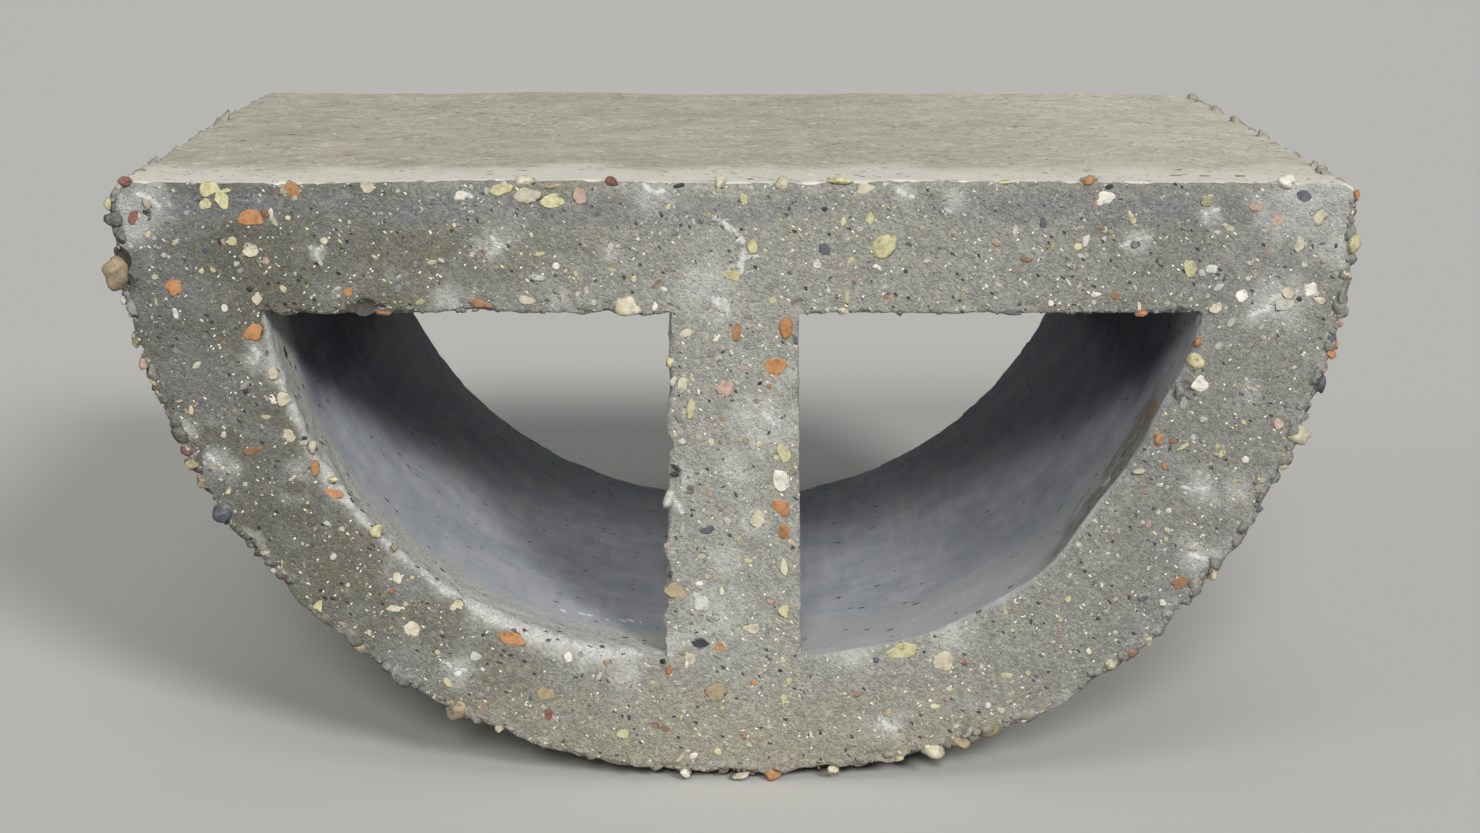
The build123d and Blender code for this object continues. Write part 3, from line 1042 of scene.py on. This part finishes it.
class Gravel:
    """Stones gathered for one mesh."""

    def __init__(self):
        self.points, self.tris, self.tone, self.film, self.rim, self.count = [], [], [], [], [], 0

    def add(self, shape, centres, normals, radii, proud, tones, film, rng, spin=None, flat=True):
        """Adds stones: each has its half sizes along two tangents and its normal, and how far it stands out."""
        points, tris = shape
        n = len(centres)
        p = np.repeat(points[None], n, 0)
        for _ in range(STONE_CUTS):
            cut = rng.normal(size=(n, 1, 3))
            cut /= np.linalg.norm(cut, axis=2, keepdims=True)
            over = np.maximum(0, (p * cut).sum(2, keepdims=True) - rng.uniform(*CUT_DEPTH, (n, 1, 1)))
            p = p - over * cut
        wobble = lumps((p + rng.uniform(0, 99, (n, 1, 3))).reshape(-1, 3), 0.75, 2, 5).reshape(n, -1, 1)
        p = p * (1 + STONE_WOBBLE * wobble) * radii[:, None, :]
        spin = rng.uniform(0, 2 * math.pi, n) if spin is None else spin
        c, s = np.cos(spin)[:, None], np.sin(spin)[:, None]
        x, y, z = p[..., 0] * c - p[..., 1] * s, p[..., 0] * s + p[..., 1] * c, p[..., 2]
        stand = proud[:, None]
        if flat:
            z = stand * np.tanh(np.maximum(z, 0) / stand * 1.1) + np.minimum(z, 0)
        else:
            z = z - radii[:, 2:] + stand
        side = np.cross(normals, np.where(np.abs(normals[:, 1:2]) > 0.9, (0.0, 0, 1), (0, 1.0, 0)))
        side /= np.linalg.norm(side, axis=1, keepdims=True)
        other = np.cross(normals, side)
        world = (centres[:, None] + x[..., None] * side[:, None] + y[..., None] * other[:, None]
                 + z[..., None] * normals[:, None])
        count = len(points)
        self.points.append(world.reshape(-1, 3))
        self.tris.append((tris[None] + self.count + np.arange(n)[:, None, None] * count).reshape(-1, 3))
        self.tone.append(np.repeat(tones, count, 0))
        self.film.append(np.repeat(film, count))
        self.rim.append(np.tile(1 - np.clip(points[:, 2], 0, 1), n))
        self.count += n * count

    def finish(self, name, material):
        obj = make_mesh(name, np.concatenate(self.points), [np.concatenate(self.tris)],
                        {"tone": np.concatenate(self.tone), "film": np.concatenate(self.film),
                         "rim": np.concatenate(self.rim)})
        obj.data.materials.append(material)
        own(obj)


def own(obj):
    """Makes a piece part of the block."""
    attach(obj, "root")
    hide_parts(NODE)
    print(obj.name, sum(len(p.vertices) - 2 for p in obj.data.polygons), "triangles", flush=True)


def surface_tree(s):
    tree = kdtree.KDTree(len(s.moved))
    for k, v in enumerate(s.moved):
        tree.insert(v, k)
    tree.balance()
    return tree


def settle(centres, normals, tree):
    """Moves centres along their normals onto the waved surface."""
    out = np.array(centres, float)
    for k in range(len(out)):
        found = tree.find(out[k])[0]
        out[k] += normals[k] * float(np.dot(np.array(found) - out[k], normals[k]))
    return out


def picked_tones(n, rng, weights):
    names = list(weights)
    share = np.array([weights[k] for k in names], float)
    chosen = rng.choice(len(names), n, p=share / share.sum())
    tones = np.array([TONES[k] for k in names])[chosen]
    return tones * rng.uniform(0.82, 1.15, (n, 1)) * rng.uniform(0.94, 1.06, (n, 3))


def drawn_block():
    """The drawn block's faces, for finding what a pixel of the picture shows."""
    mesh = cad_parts[NODE].data
    return BVHTree.FromPolygons([v.co.copy() for v in mesh.vertices], [p.vertices[:] for p in mesh.polygons])


def nearest_rim(x, z, rims):
    """How far inside the nearest edge an end view's point is, and that edge's outward normal."""
    best = (1.0, None)
    for loop, normals in rims:
        away = loop - (x, z)
        k = int((away**2).sum(1).argmin())
        inward = float(away[k] @ normals[k])
        if abs(inward) < abs(best[0]):
            best = (inward, normals[k])
    return best


def end_rims():
    return [(c, loop_normals(c)) for c in (OUTLINE, CELL_FRONT, mirrored(CELL_FRONT))]


STAND, PIT_STAND = 0.26, 0.12          # how far flush stones and black pits stand out, in millimetres
LITTLE, LARGE = 1.7 * MM, 2.6 * MM     # half sizes, for the coarser template and for the cleaner stones
STONE_FILM, LESS_FILM = 0.26, 0.18


def sorted_stones(places, block_faces, rims):
    """Stones on the end, on its arrises and elsewhere: each one's place, normal, half sizes and stand."""
    flats, edges, others = [], [], []
    for px, py, width, height in places:
        hit, normal, _, _ = block_faces.ray_cast(CAM_PLACE, sight(px, py).normalized())
        half = np.array((width, height)) * PX / 2
        stand = PROUD.get((px, py), STAND) * MM
        q = on_front(px, py)
        inward, side = nearest_rim(q.x, q.z, rims)
        size = float(half.mean())
        if hit is not None and normal.y > -0.8 and inward < -0.8 * size:
            reach = (hit - CAM_PLACE).length / END_AWAY
            others.append((hit[:], normal[:], (half.max() * reach,) * 2, stand))
        elif inward < 0.55 * size:
            shift = max(0.0, -0.10 * size - inward)
            place = (q.x - side[0] * shift, FRONT, q.z - side[1] * shift)
            edges.append((place, (0, -1, 0), half, max(stand, 0.42 * size)))
        else:
            flats.append(((q.x, FRONT, q.z), (0, -1, 0), half * 1.08, stand))
    return flats, edges, others


def shown_stones(tree, stones, shapes, ball, rng):
    """Places the stones that the picture shows."""
    block_faces, rims = drawn_block(), end_rims()
    for tone, places in STONES.items():
        flats, edges, others = sorted_stones(places, block_faces, rims)
        large = [g for g in flats if g[2].mean() > LITTLE]
        little = [g for g in flats if g[2].mean() <= LITTLE]
        for group, shape, is_flat in ((large, shapes[3], True), (little, shapes[2], True),
                                      (others, shapes[3], True), (edges, ball, False)):
            if not group:
                continue
            n = len(group)
            centres, normals, half = (np.array([g[k] for g in group], float) for k in range(3))
            stand = np.array([g[3] for g in group])
            if tone == "black":
                stand = np.minimum(stand, PIT_STAND * MM)
            radii = np.stack([half[:, 0], half[:, 1], half.mean(1)], 1)
            tones = np.tile(TONES[tone], (n, 1)) * rng.uniform(0.88, 1.12, (n, 1))
            film = np.full(n, 0.0 if tone == "black" else STONE_FILM) + rng.uniform(-0.08, 0.20, n)
            film[half.mean(1) > LARGE] -= LESS_FILM
            if is_flat:
                centres = settle(centres, normals, tree)
            spin = rng.uniform(-0.3, 0.3, n)
            stones.add(shape, centres, normals, radii, stand, tones, film, rng, spin, is_flat)


GRIT = {"cream": 3, "yellow": 3.5, "white": 2.2, "pale": 3, "grey": 3, "orange": 0.4, "rust": 0.8, "pink": 0.8,
        "blue": 1.4, "black": 2.0, "olive": 1.5}


def grit(tree, stones, shapes, rng, count, y, spread, power):
    """Small grit scattered over an end."""
    flat = []
    cell, way = (CELL_FRONT, -1.0) if y == FRONT else (CELL_REAR, 1.0)
    while len(flat) < count:
        x, z = rng.uniform(-HALF_WIDTH, HALF_WIDTH), rng.uniform(0, HEIGHT)
        if point_in_end(x, z, cell):
            flat.append((x, y, z))
    centres = np.array(flat)
    normals = np.tile((0.0, way, 0.0), (count, 1))
    r = (0.35 + spread * rng.uniform(0, 1, count)**power) * MM
    tones = 0.8 * picked_tones(count, rng, GRIT) + 0.2 * np.array(GREY)
    r = np.where(tones.mean(1) < 0.2, np.minimum(r, 0.9 * MM), r)
    radii = np.stack([r * rng.uniform(0.8, 1.7, count), r * rng.uniform(0.5, 0.9, count), r], 1)
    film = rng.uniform(0.0, 0.55, count)
    centres = settle(centres, normals, tree)
    for shape, m in ((shapes[2], r > 1.0 * MM), (shapes[1], r <= 1.0 * MM)):
        stand = np.where(r[m] > 2 * MM, 0.28, 0.16) * MM
        stones.add(shape, centres[m], normals[m], radii[m], stand, tones[m], film[m], rng)


def front_gravel(tree, shapes, ball, material):
    rng = np.random.default_rng(21)
    stones = Gravel()
    shown_stones(tree, stones, shapes, ball, rng)
    grit(tree, stones, shapes, rng, 900, FRONT, 1.5, 2.6)
    arris_pebbles(stones, tree, shapes, rng)
    stones.finish("gravel_front", material)


def rear_gravel(tree, shapes, material):
    stones = Gravel()
    grit(tree, stones, shapes, np.random.default_rng(23), 380, REAR, 3.6, 3.2)
    stones.finish("gravel_rear", material)


EDGE_CLEAR = 1.5 * MM


def point_in_end(x, z, cell):
    """Whether a point of an end view lies on concrete, clear of the cells' loop."""
    if z > HEIGHT - EDGE_CLEAR or abs(x) > HALF_WIDTH - EDGE_CLEAR:
        return False
    if math.hypot(x, z - BELLY_RADIUS) > BELLY_RADIUS - EDGE_CLEAR and z < FLANK_FOOT:
        return False
    if np.hypot(cell[:, 0] - abs(x), cell[:, 1] - z).min() < EDGE_CLEAR:
        return False
    return not inside(np.array([[abs(x), z]]), cell)[0]


PEBBLES = {"grey": 6, "tan": 3, "cream": 3, "orange": 1.2, "rust": 1.6, "pink": 1.0, "pale": 3, "white": 0.6,
           "blue": 1.6, "brown": 1.6, "olive": 1.2, "yellow": 1}


PROUDEST = 3.0 * MM

# The belly's pebbles: which template, how many, their least and greatest radius and how far they stand out
BELLY_ROWS = [(3, 130, 4.2, 6.4, (0.25, 0.75)), (2, 950, 2.2, 4.4, (0.25, 0.85)),
              (1, 1800, 1.0, 2.3, (0.3, 0.95))]

# The arrises' pebbles: how many, their least and greatest radius and which template
OUTLINE_ROWS, BEAM_ROW = [(230, 1.0, 3.4, 2), (260, 0.6, 1.4, 1)], (55, 0.6, 1.8, 1)
DECK_SIDE_PEBBLES = 60
EDGE_INSET = 0.4 * MM


def pebbles(stones, shape, centres, normals, radii_mm, stand, tree, rng, film=(0.35, 0.95)):
    """Whole pebbles half sunk in the surface."""
    n = len(centres)
    r = radii_mm * MM
    radii = np.stack([r * rng.uniform(*share, n) for share in ((0.85, 1.35), (0.75, 1.0), (0.6, 0.9))], 1)
    proud = radii[:, 2] * rng.uniform(*stand, n)
    under = np.clip((centres[:, 2] - 6 * MM) / (14 * MM), 0.35, 1)
    proud = np.minimum(proud, PROUDEST) * under
    stones.add(shape, settle(centres, normals, tree), normals, radii, proud, picked_tones(n, rng, PEBBLES),
               rng.uniform(*film, n), rng, flat=False)


def belly_gravel(tree, shapes, material, way, name):
    """The pebbles that stand out of one side of the belly and its flank."""
    rng = np.random.default_rng(31 + way)
    normals2 = loop_normals(OUTLINE)
    choice = np.flatnonzero((OUTLINE[:, 0] * way >= 0) & (OUTLINE[:, 1] < HEIGHT - 3 * MM))
    stones = Gravel()
    for level, n, low, high, stand in BELLY_ROWS:
        k = rng.choice(choice, n)
        y = rng.uniform(FRONT + 2 * MM, REAR - 2 * MM, n)
        centres = np.stack([OUTLINE[k, 0], y, OUTLINE[k, 1]], 1)
        normals = np.stack([normals2[k, 0], np.zeros(n), normals2[k, 1]], 1)
        pebbles(stones, shapes[level], centres, normals, rng.uniform(low, high, n), stand, tree, rng)
    stones.finish(name, material)


def arris_pebbles(stones, tree, shapes, rng):
    """Pebbles and crumbs along the front's outline, the beam's lower edge and the deck's long sides."""
    low = np.flatnonzero(OUTLINE[:, 1] < HEIGHT - 4 * MM)
    beam = CELL_FRONT[:CELL_COUNTS[0]]
    down, along = np.tile((0.0, -1.0), (len(beam), 1)), np.arange(len(beam))
    rows = [(OUTLINE, loop_normals(OUTLINE), low, *row) for row in OUTLINE_ROWS]
    rows += [(edge, down, along, *BEAM_ROW) for edge in (beam, beam * (-1, 1))]
    for loop, out, choice, n, small, large, level in rows:
        k = rng.choice(choice, n)
        lean = rng.uniform(0.15, 1.35, n)
        normals = np.stack([out[k, 0] * np.cos(lean), -np.sin(lean), out[k, 1] * np.cos(lean)], 1)
        centres = np.stack([loop[k, 0] - out[k, 0] * EDGE_INSET, np.full(n, FRONT + EDGE_INSET),
                            loop[k, 1] - out[k, 1] * EDGE_INSET], 1)
        r = small + (large - small) * rng.uniform(0, 1, n)**1.6
        pebbles(stones, shapes[level], centres, normals, r, (0.2, 0.62), tree, rng, (0.4, 1.0))
    for side in (-1, 1):
        n = DECK_SIDE_PEBBLES
        lean = rng.uniform(0.1, 0.9, n)
        normals = np.stack([side * np.cos(lean), np.zeros(n), np.sin(lean)], 1)
        centres = np.stack([np.full(n, side * (HALF_WIDTH - 1.6 * MM)),
                            rng.uniform(FRONT + 3 * MM, REAR - 9 * MM, n), np.full(n, HEIGHT - 2.2 * MM)], 1)
        r = rng.uniform(2.0, 4.8, n)
        pebbles(stones, shapes[2], centres, normals, r, (0.06, 0.22), tree, rng, (0.6, 1.0))


# Broken places, film and stains that the picture shows

# Soft grey clouds of cement film and white lime on the front end: x, y, radius in the picture's pixels
CLOUDS = [(720, 316, 17), (706, 284, 24), (761, 421, 30), (735, 470, 18), (684, 479, 12), (713, 610, 28),
          (671, 644, 12), (790, 373, 10), (751, 523, 14), (722, 560, 16), (1300, 200, 44), (1335, 190, 36),
          (1338, 240, 26), (1284, 302, 28), (1258, 313, 18), (1250, 390, 12), (648, 193, 20), (905, 195, 10),
          (955, 198, 10), (135, 200, 30), (128, 225, 22), (150, 190, 18), (560, 640, 18), (590, 655, 16),
          (496, 246, 18), (609, 255, 9), (318, 255, 8), (257, 356, 16), (1197, 557, 18), (1205, 488, 16),
          (1238, 486, 16), (215, 463, 14), (458, 668, 14), (628, 672, 16), (1069, 701, 14), (888, 725, 16),
          (850, 655, 18), (180, 430, 14), (230, 470, 12), (448, 302, 14), (560, 300, 12), (1135, 243, 12),
          (1212, 212, 12), (950, 640, 22), (300, 470, 12)]
LIME = [([(712, 217), (724, 222), (733, 231), (742, 238), (745, 252), (741, 262), (729, 266)], 3.2),
        ([(745, 258), (757, 256)], 2.4), ([(741, 262), (741, 272)], 3), ([(716, 301), (725, 309)], 6),
        ([(455, 199), (463, 193), (470, 197)], 3), ([(492, 238), (499, 246), (507, 249)], 2.6),
        ([(488, 252), (496, 254)], 2), ([(609, 251), (610, 260)], 2.2), ([(314, 246), (320, 263)], 2.4),
        ([(325, 240), (321, 249)], 2), ([(252, 350), (262, 364)], 3.4),
        ([(1266, 309), (1277, 297), (1291, 292)], 4), ([(1250, 316), (1263, 311)], 3),
        ([(1306, 286), (1316, 294)], 3.4), ([(1206, 213), (1219, 209)], 2.6),
        ([(1122, 246), (1137, 239), (1152, 236)], 2.4), ([(645, 186), (655, 192), (664, 190)], 3.2),
        ([(1281, 174), (1293, 182), (1304, 180)], 4.6), ([(207, 455), (214, 463), (222, 468)], 2.8),
        ([(1184, 487), (1196, 490), (1209, 488)], 2.6), ([(900, 192), (912, 196)], 2.8),
        ([(178, 425), (185, 433)], 2), ([(444, 661), (455, 668), (466, 669)], 2),
        ([(694, 594), (705, 602)], 3.4), ([(672, 498), (680, 511)], 3.6), ([(1024, 723), (1035, 728)], 2.6),
        ([(880, 720), (890, 727), (900, 730)], 2.8), ([(1191, 554), (1203, 559), (1213, 561)], 3),
        ([(138, 193), (149, 198), (158, 205)], 3), ([(560, 639), (572, 642)], 2.6),
        ([(742, 362), (751, 366)], 2), ([(763, 412), (774, 424)], 3.4)]


def strokes(lines):
    """Rows of round patches along lines of the picture."""
    places = []
    for corners, width in lines:
        for (ax, ay), (bx, by) in zip(corners, corners[1:]):
            count = max(1, int(math.hypot(bx - ax, by - ay) / (0.6 * width)))
            places += [(ax + (bx - ax) * k / count, ay + (by - ay) * k / count, width)
                       for k in range(count + 1)]
    return places


PATCH_REACH = 1.25


def mark(s, places):
    """How strongly each point of the front end is marked by round patches given in the picture's pixels."""
    total = np.zeros(len(s.at))
    here = np.flatnonzero(s.end_depth < 12 * MM)
    flat = s.at[here][:, (0, 2)]
    for px, py, radius in places:
        q = on_front(px, py)
        d = np.hypot(flat[:, 0] - q.x, flat[:, 1] - q.z) / (radius * PX * PATCH_REACH)
        total[here] = np.maximum(total[here], np.exp(-d * d))
    total *= s.way < 0
    return total


# Lime that ran down the left cell's floor: x, y, radius
STREAK = [(563, 611, 4), (572, 612, 4), (581, 614, 5), (590, 616, 5), (599, 618, 4), (607, 620, 3),
          (624, 621, 6), (630, 621, 6), (641, 622, 3)]

# Painted shade, a dark brown, in the hollows under the beam and in shaded chips: x, y, radius
DARK = [(352, 308, 9), (366, 308, 11), (378, 311, 8), (676, 470, 7), (690, 490, 6), (669, 575, 6),
        (700, 643, 8), (1187, 398, 8), (120, 262, 7), (113, 246, 6), (148, 213, 5), (1180, 310, 6)]


def shown_places(places):
    """The points of the drawn block that pixels of the picture show, with radii in metres."""
    faces = drawn_block()
    found = []
    for px, py, radius in places:
        hit = faces.ray_cast(CAM_PLACE, sight(px, py).normalized())[0]
        if hit is None:
            hit = on_front(px, py)
        found.append((hit, radius * PX * (hit - CAM_PLACE).length / END_AWAY))
    return found


def spots(s, places):
    """How strongly each point is marked by round patches that the picture shows."""
    total = np.zeros(len(s.at))
    for hit, radius in shown_places(places):
        d = np.linalg.norm(s.at - np.array(hit), axis=1) / radius
        total = np.maximum(total, np.exp(-d * d))
    return total


def deck_marks(s, y, patchy):
    """The deck's own cement, and where it is paler: along its front, its long sides and its rear."""
    outer = s.kind == OUTER
    top = smooth_step(s.outer_normal[:, 1], 0.4, 0.8)
    front_band = 1 - 0.9 * rise(y - FRONT + 9 * MM * patchy, 14, 66)
    sides = outer * top * np.exp(-(HALF_WIDTH - np.abs(s.at[:, 0])) / (7 * MM))
    rear = outer * top * np.exp(-((REAR - y) / (6 * MM)))
    pale = top * outer * front_band * (1 - 0.8 * smooth_step(s.lean, 0.0, 0.5))
    pale = np.maximum(np.maximum(pale, 0.75 * sides), 0.6 * rear)
    on_face = 0.22 * top * np.exp(-s.outer_depth / (1.6 * MM))
    return {"pale": pale, "deck": np.where(outer, top * np.maximum(0.1, 1 - 1.25 * s.lean), on_face)}


def end_marks(s, x, z, patchy):
    """The ends' dull bands, and the film along their rims and over the belly."""
    up = s.outer_normal[:, 1]
    front_end, outer = s.kind == FRONT_END, s.kind == OUTER
    on_end = front_end | (s.kind == REAR_END)
    band = rise(s.outer_depth, 1.2, 3.5) * fall(s.outer_depth, 8, 15)
    dull = front_end * smooth_step(up, 0.4, 0.8) * band * np.clip(0.85 + 0.5 * patchy, 0, 1)
    # the top left of the front end is darker still, partly painted shade like the rest of its left side
    left_top = near(x + 185 * MM, 22) * near(z - 165 * MM, 34)
    dull = np.maximum(dull, front_end * 0.55 * left_top)
    below = 1 - smooth_step(up, -0.1, 0.5)
    right_arris = front_end * (x > 55 * MM) * (s.cell_normal[:, 0] < -0.2) * near(s.cell_depth, 1.8)
    film = on_end * below * near(s.outer_depth, 5.0) * (0.62 + 0.35 * patchy)
    film = np.maximum(film, outer * below * 0.50)
    film = np.maximum(film, on_end * near(s.cell_depth, 3.6) * (0.40 + 0.28 * patchy))
    return {"dull": dull, "film": np.maximum(film, right_arris * 0.9)}


def cell_marks(s, x, y, z):
    """The left cell's mouth: dust and painted light; the right cell's lip and bevel; painted shade high up deep
    inside; crumbly walls.
    """
    deep, right, left = y - FRONT, s.kind == RIGHT_CELL, s.kind == LEFT_CELL
    breadth = (14 + 34 * rise(z, 60, 112)) * MM * (1 + 0.3 * lumps(s.at, 22 * MM, 2, 43))
    bevel = right * (x > 60 * MM) * rise(z, 52, 92) * fall(z, 112, 150)
    bevel *= fall(deep - breadth, -14, 8) * rise(deep, 1.0, 3.0)
    rear = np.exp(-(REAR - y) / (22 * MM))
    # the left cell's dusty mouth is also paler as painted light, where its front is lit
    return {"dust_and_light": left * (1 - 0.9 * rise(deep, 12, 46)),
            # painted shade: darker high on the cells' walls and deeper in, where the deck's shadow falls
            "upper_cell_shade": (left | right) * rise(z, 96, 138) * rise(deep, 12, 60),
            "lip": right * fall(deep, 48, 51) * (1 - 0.75 * rise(z, 90, 130)),
            "bevel": bevel,
            "crumbly": (left | right) * np.clip(rear + 1.3 * left * fall(deep, 8, 30), 0, 1.3)}


def painted(s):
    """What the material reads at each point: film, bands, dust and stains, with painted light at the left
    cell's mouth and painted shade in the cells and hollows.
    """
    x, y, z = s.at.T
    patchy = lumps(s.at, 26 * MM, 3, 41)
    # painted shade along the beam's lower edge on the front end
    beam_edge = (s.kind == FRONT_END) * near(s.cell_depth, 1.0) * (s.cell_normal[:, 1] < -0.7)
    return {**deck_marks(s, y, patchy), **end_marks(s, x, z, patchy), **cell_marks(s, x, y, z),
            "cloud": mark(s, CLOUDS), "lime": mark(s, strokes(LIME)), "streak": spots(s, STREAK),
            "dark": np.maximum(spots(s, DARK), 0.62 * beam_edge * (z > 150 * MM))}


# Planes of the broken corners, in millimetres: which side, distance in from the flank, behind the front end and
# under the deck, direction
CORNER_BREAKS = [(-1, 3.0, 0, 4.5, (-0.62, -0.35, 0.70)), (-1, 1.0, 1, 12, (-0.6, -0.8, 0.1)),
                 (1, 2.6, 0, 3.6, (0.55, -0.5, 0.67))]

# Hollows in the front end: the picture's x and y, millimetres before the end and radius in millimetres
HOLLOWS = [(114, 262, 2.0, 6.0), (122, 285, 1.0, 4.5), (106, 240, 3.0, 6.0), (663, 480, 4.0, 7.5),
           (660, 500, 3.0, 5.5), (661, 590, 3.0, 6.0), (1183, 392, 2.5, 5.0), (365, 309, 2.0, 4.5),
           (378, 312, 2.0, 4.0)]


def break_surface(s):
    """The broken corners and edges."""
    for k, (side, inward, behind, under, direction) in enumerate(CORNER_BREAKS):
        place = (side * (HALF_WIDTH - inward * MM), FRONT + behind * MM, HEIGHT - under * MM)
        shear_off(s, place, direction, k + 1)
    for px, py, before, radius in HOLLOWS:
        q = on_front(px, py)
        scoop(s, (q.x, q.y - before * MM, q.z), radius * MM)
    chip_arrises(s, np.random.default_rng(5))


def chip_rows():
    """The chipped arrises of the ends: loop, end, how many chips, and their greatest radius and depth."""
    count = CELL_COUNTS[0]
    mouths, rears = [CELL_FRONT, mirrored(CELL_FRONT)], [CELL_REAR, mirrored(CELL_REAR)]
    return [(OUTLINE, FRONT, 150, 5.5, 0.95), (OUTLINE, REAR, 90, 8.0, 1.3),
            *((mouth, FRONT, 60, 4.0, 0.9) for mouth in mouths),
            *((beam, FRONT, 26, 5.0, 1.6) for beam in (mouths[0][:count], mouths[1][-count:])),
            *((rear, REAR, 60, 6.0, 1.5) for rear in rears)]


def chip_arrises(s, rng):
    """Small chips along the arrises."""
    diagonal = math.sqrt(0.5)
    for loop, y, count, large, deepest in chip_rows():
        way = -1 if y == FRONT else 1
        normals = loop_normals(loop)
        for k in rng.choice(len(loop), count):
            r = rng.uniform(1.8, large) * MM
            out = (r - rng.uniform(0.25, deepest) * MM) * diagonal
            scoop(s, (loop[k, 0] + normals[k, 0] * out, y + way * out, loop[k, 1] + normals[k, 1] * out), r)
    # the deck's two long arrises
    for side in (-1, 1):
        for y in rng.uniform(FRONT, REAR, 45):
            r = rng.uniform(4.0, 12.0) * MM
            out = (r - rng.uniform(0.3, 1.5) * MM) * diagonal
            scoop(s, (side * (HALF_WIDTH - 1.2 * MM + out), y, HEIGHT - 1.2 * MM + out), r)


# Stage, light and camera

FLOOR_SEEN = (0.60, 0.595, 0.575)
FLOOR_BOUNCE = (0.27, 0.27, 0.26)
FLOOR_HALF = 14.0
SKY, SKY_STRENGTH, BACKDROP = (0.90, 0.95, 1.0, 1), 0.09, (0.80, 0.80, 0.79, 1)
LAMP_COLOUR = (1.0, 0.99, 0.965)


def stage():
    size, z = FLOOR_HALF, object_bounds()[0].z
    mesh = bpy.data.meshes.new("floor")
    corners = [(-size, -size, z), (size, -size, z), (size, size, z), (-size, size, z)]
    mesh.from_pydata(corners, [], [(0, 1, 2, 3)])
    floor = add_object("floor", mesh)
    material, t, shader = new_material("floor", 0.85)
    seen = node(t, "LightPath").outputs["Is Camera Ray"]
    t.links.new(blend(t, seen, FLOOR_BOUNCE, FLOOR_SEEN), shader.inputs["Base Color"])
    mesh.materials.append(material)
    floor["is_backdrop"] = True


# Lamps: angle round the block from the front, height, strength and breadth, with the angles in degrees
LAMPS = [("front lamp", -4, 28, 1.60, 13), ("right lamp", 28, 29, 1.88, 13), ("left lamp", -55, 28, 0.30, 26),
         ("high lamp", 5, 64, 0.36, 26), ("rear lamp", 180, 20, 0.26, 26)]


def lights():
    world = bpy.data.worlds.new("world")
    bpy.context.scene.world = world
    world.use_nodes = True
    t = world.node_tree
    back = t.nodes["Background"]
    back.inputs["Color"].default_value = SKY
    back.inputs["Strength"].default_value = SKY_STRENGTH
    seen = node(t, "Background", {"Color": BACKDROP, "Strength": 1.0})
    mix = node(t, "MixShader", {0: node(t, "LightPath").outputs["Is Camera Ray"], 1: back.outputs[0],
                                2: seen.outputs[0]})
    t.links.new(mix.outputs[0], t.nodes["World Output"].inputs[0])
    for name, azimuth, elevation, energy, breadth in LAMPS:
        lamp = bpy.data.lights.new(name, "SUN")
        lamp.energy = energy
        lamp.angle = math.radians(breadth)
        lamp.color = LAMP_COLOUR
        obj = add_object(name, lamp)
        a, e = math.radians(azimuth), math.radians(elevation)
        towards = Vector((math.sin(a) * math.cos(e), -math.cos(a) * math.cos(e), math.sin(e)))
        obj.rotation_euler = towards.to_track_quat("Z", "Y").to_euler()


def camera():
    data = bpy.data.cameras.new("camera")
    data.sensor_width = SENSOR
    data.lens = FOCAL_PX / PHOTO_W * SENSOR
    obj = add_object("camera", data)
    obj.location = CAM_PLACE
    obj.rotation_euler = Matrix((CAM_RIGHT, CAM_UP, -CAM_FORWARD)).transposed().to_euler()
    bpy.context.scene.camera = obj


def block():
    s = lay_surface()
    wave_surface(s)
    break_surface(s)
    normals = point_normals(s)
    attributes = {"end": s.end, "cell": s.cell, **painted(s)}
    concrete, gravel = concrete_material(), gravel_material()
    pieces = (("concrete_front", (FRONT_END,), None), ("concrete_rear", (REAR_END,), None),
              ("concrete_belly", (OUTER,), False), ("concrete_deck", (OUTER,), True),
              ("concrete_cells", (RIGHT_CELL, LEFT_CELL), None))
    on_deck = s.at[:, 2] > HEIGHT - DECK_CORNER * 0.5
    for name, kinds, top in pieces:
        q = np.isin(s.quad_kind, kinds)
        if top is not None:
            q &= (on_deck[s.quads].all(1) == top)
        t = np.isin(s.tri_kind, kinds)
        piece = take_piece(s, name, s.quads[q], s.tris[t], normals, attributes)
        piece.data.materials.append(concrete)
        own(piece)
    tree = surface_tree(s)
    shapes = {level: template(level) for level in (1, 2, 3)}
    front_gravel(tree, shapes, template(3, False), gravel)
    rear_gravel(tree, shapes, gravel)
    belly_gravel(tree, shapes, gravel, -1, "gravel_left")
    belly_gravel(tree, shapes, gravel, 1, "gravel_right")


block()
stage()
lights()
camera()
bpy.context.scene.view_settings.view_transform = "Standard"
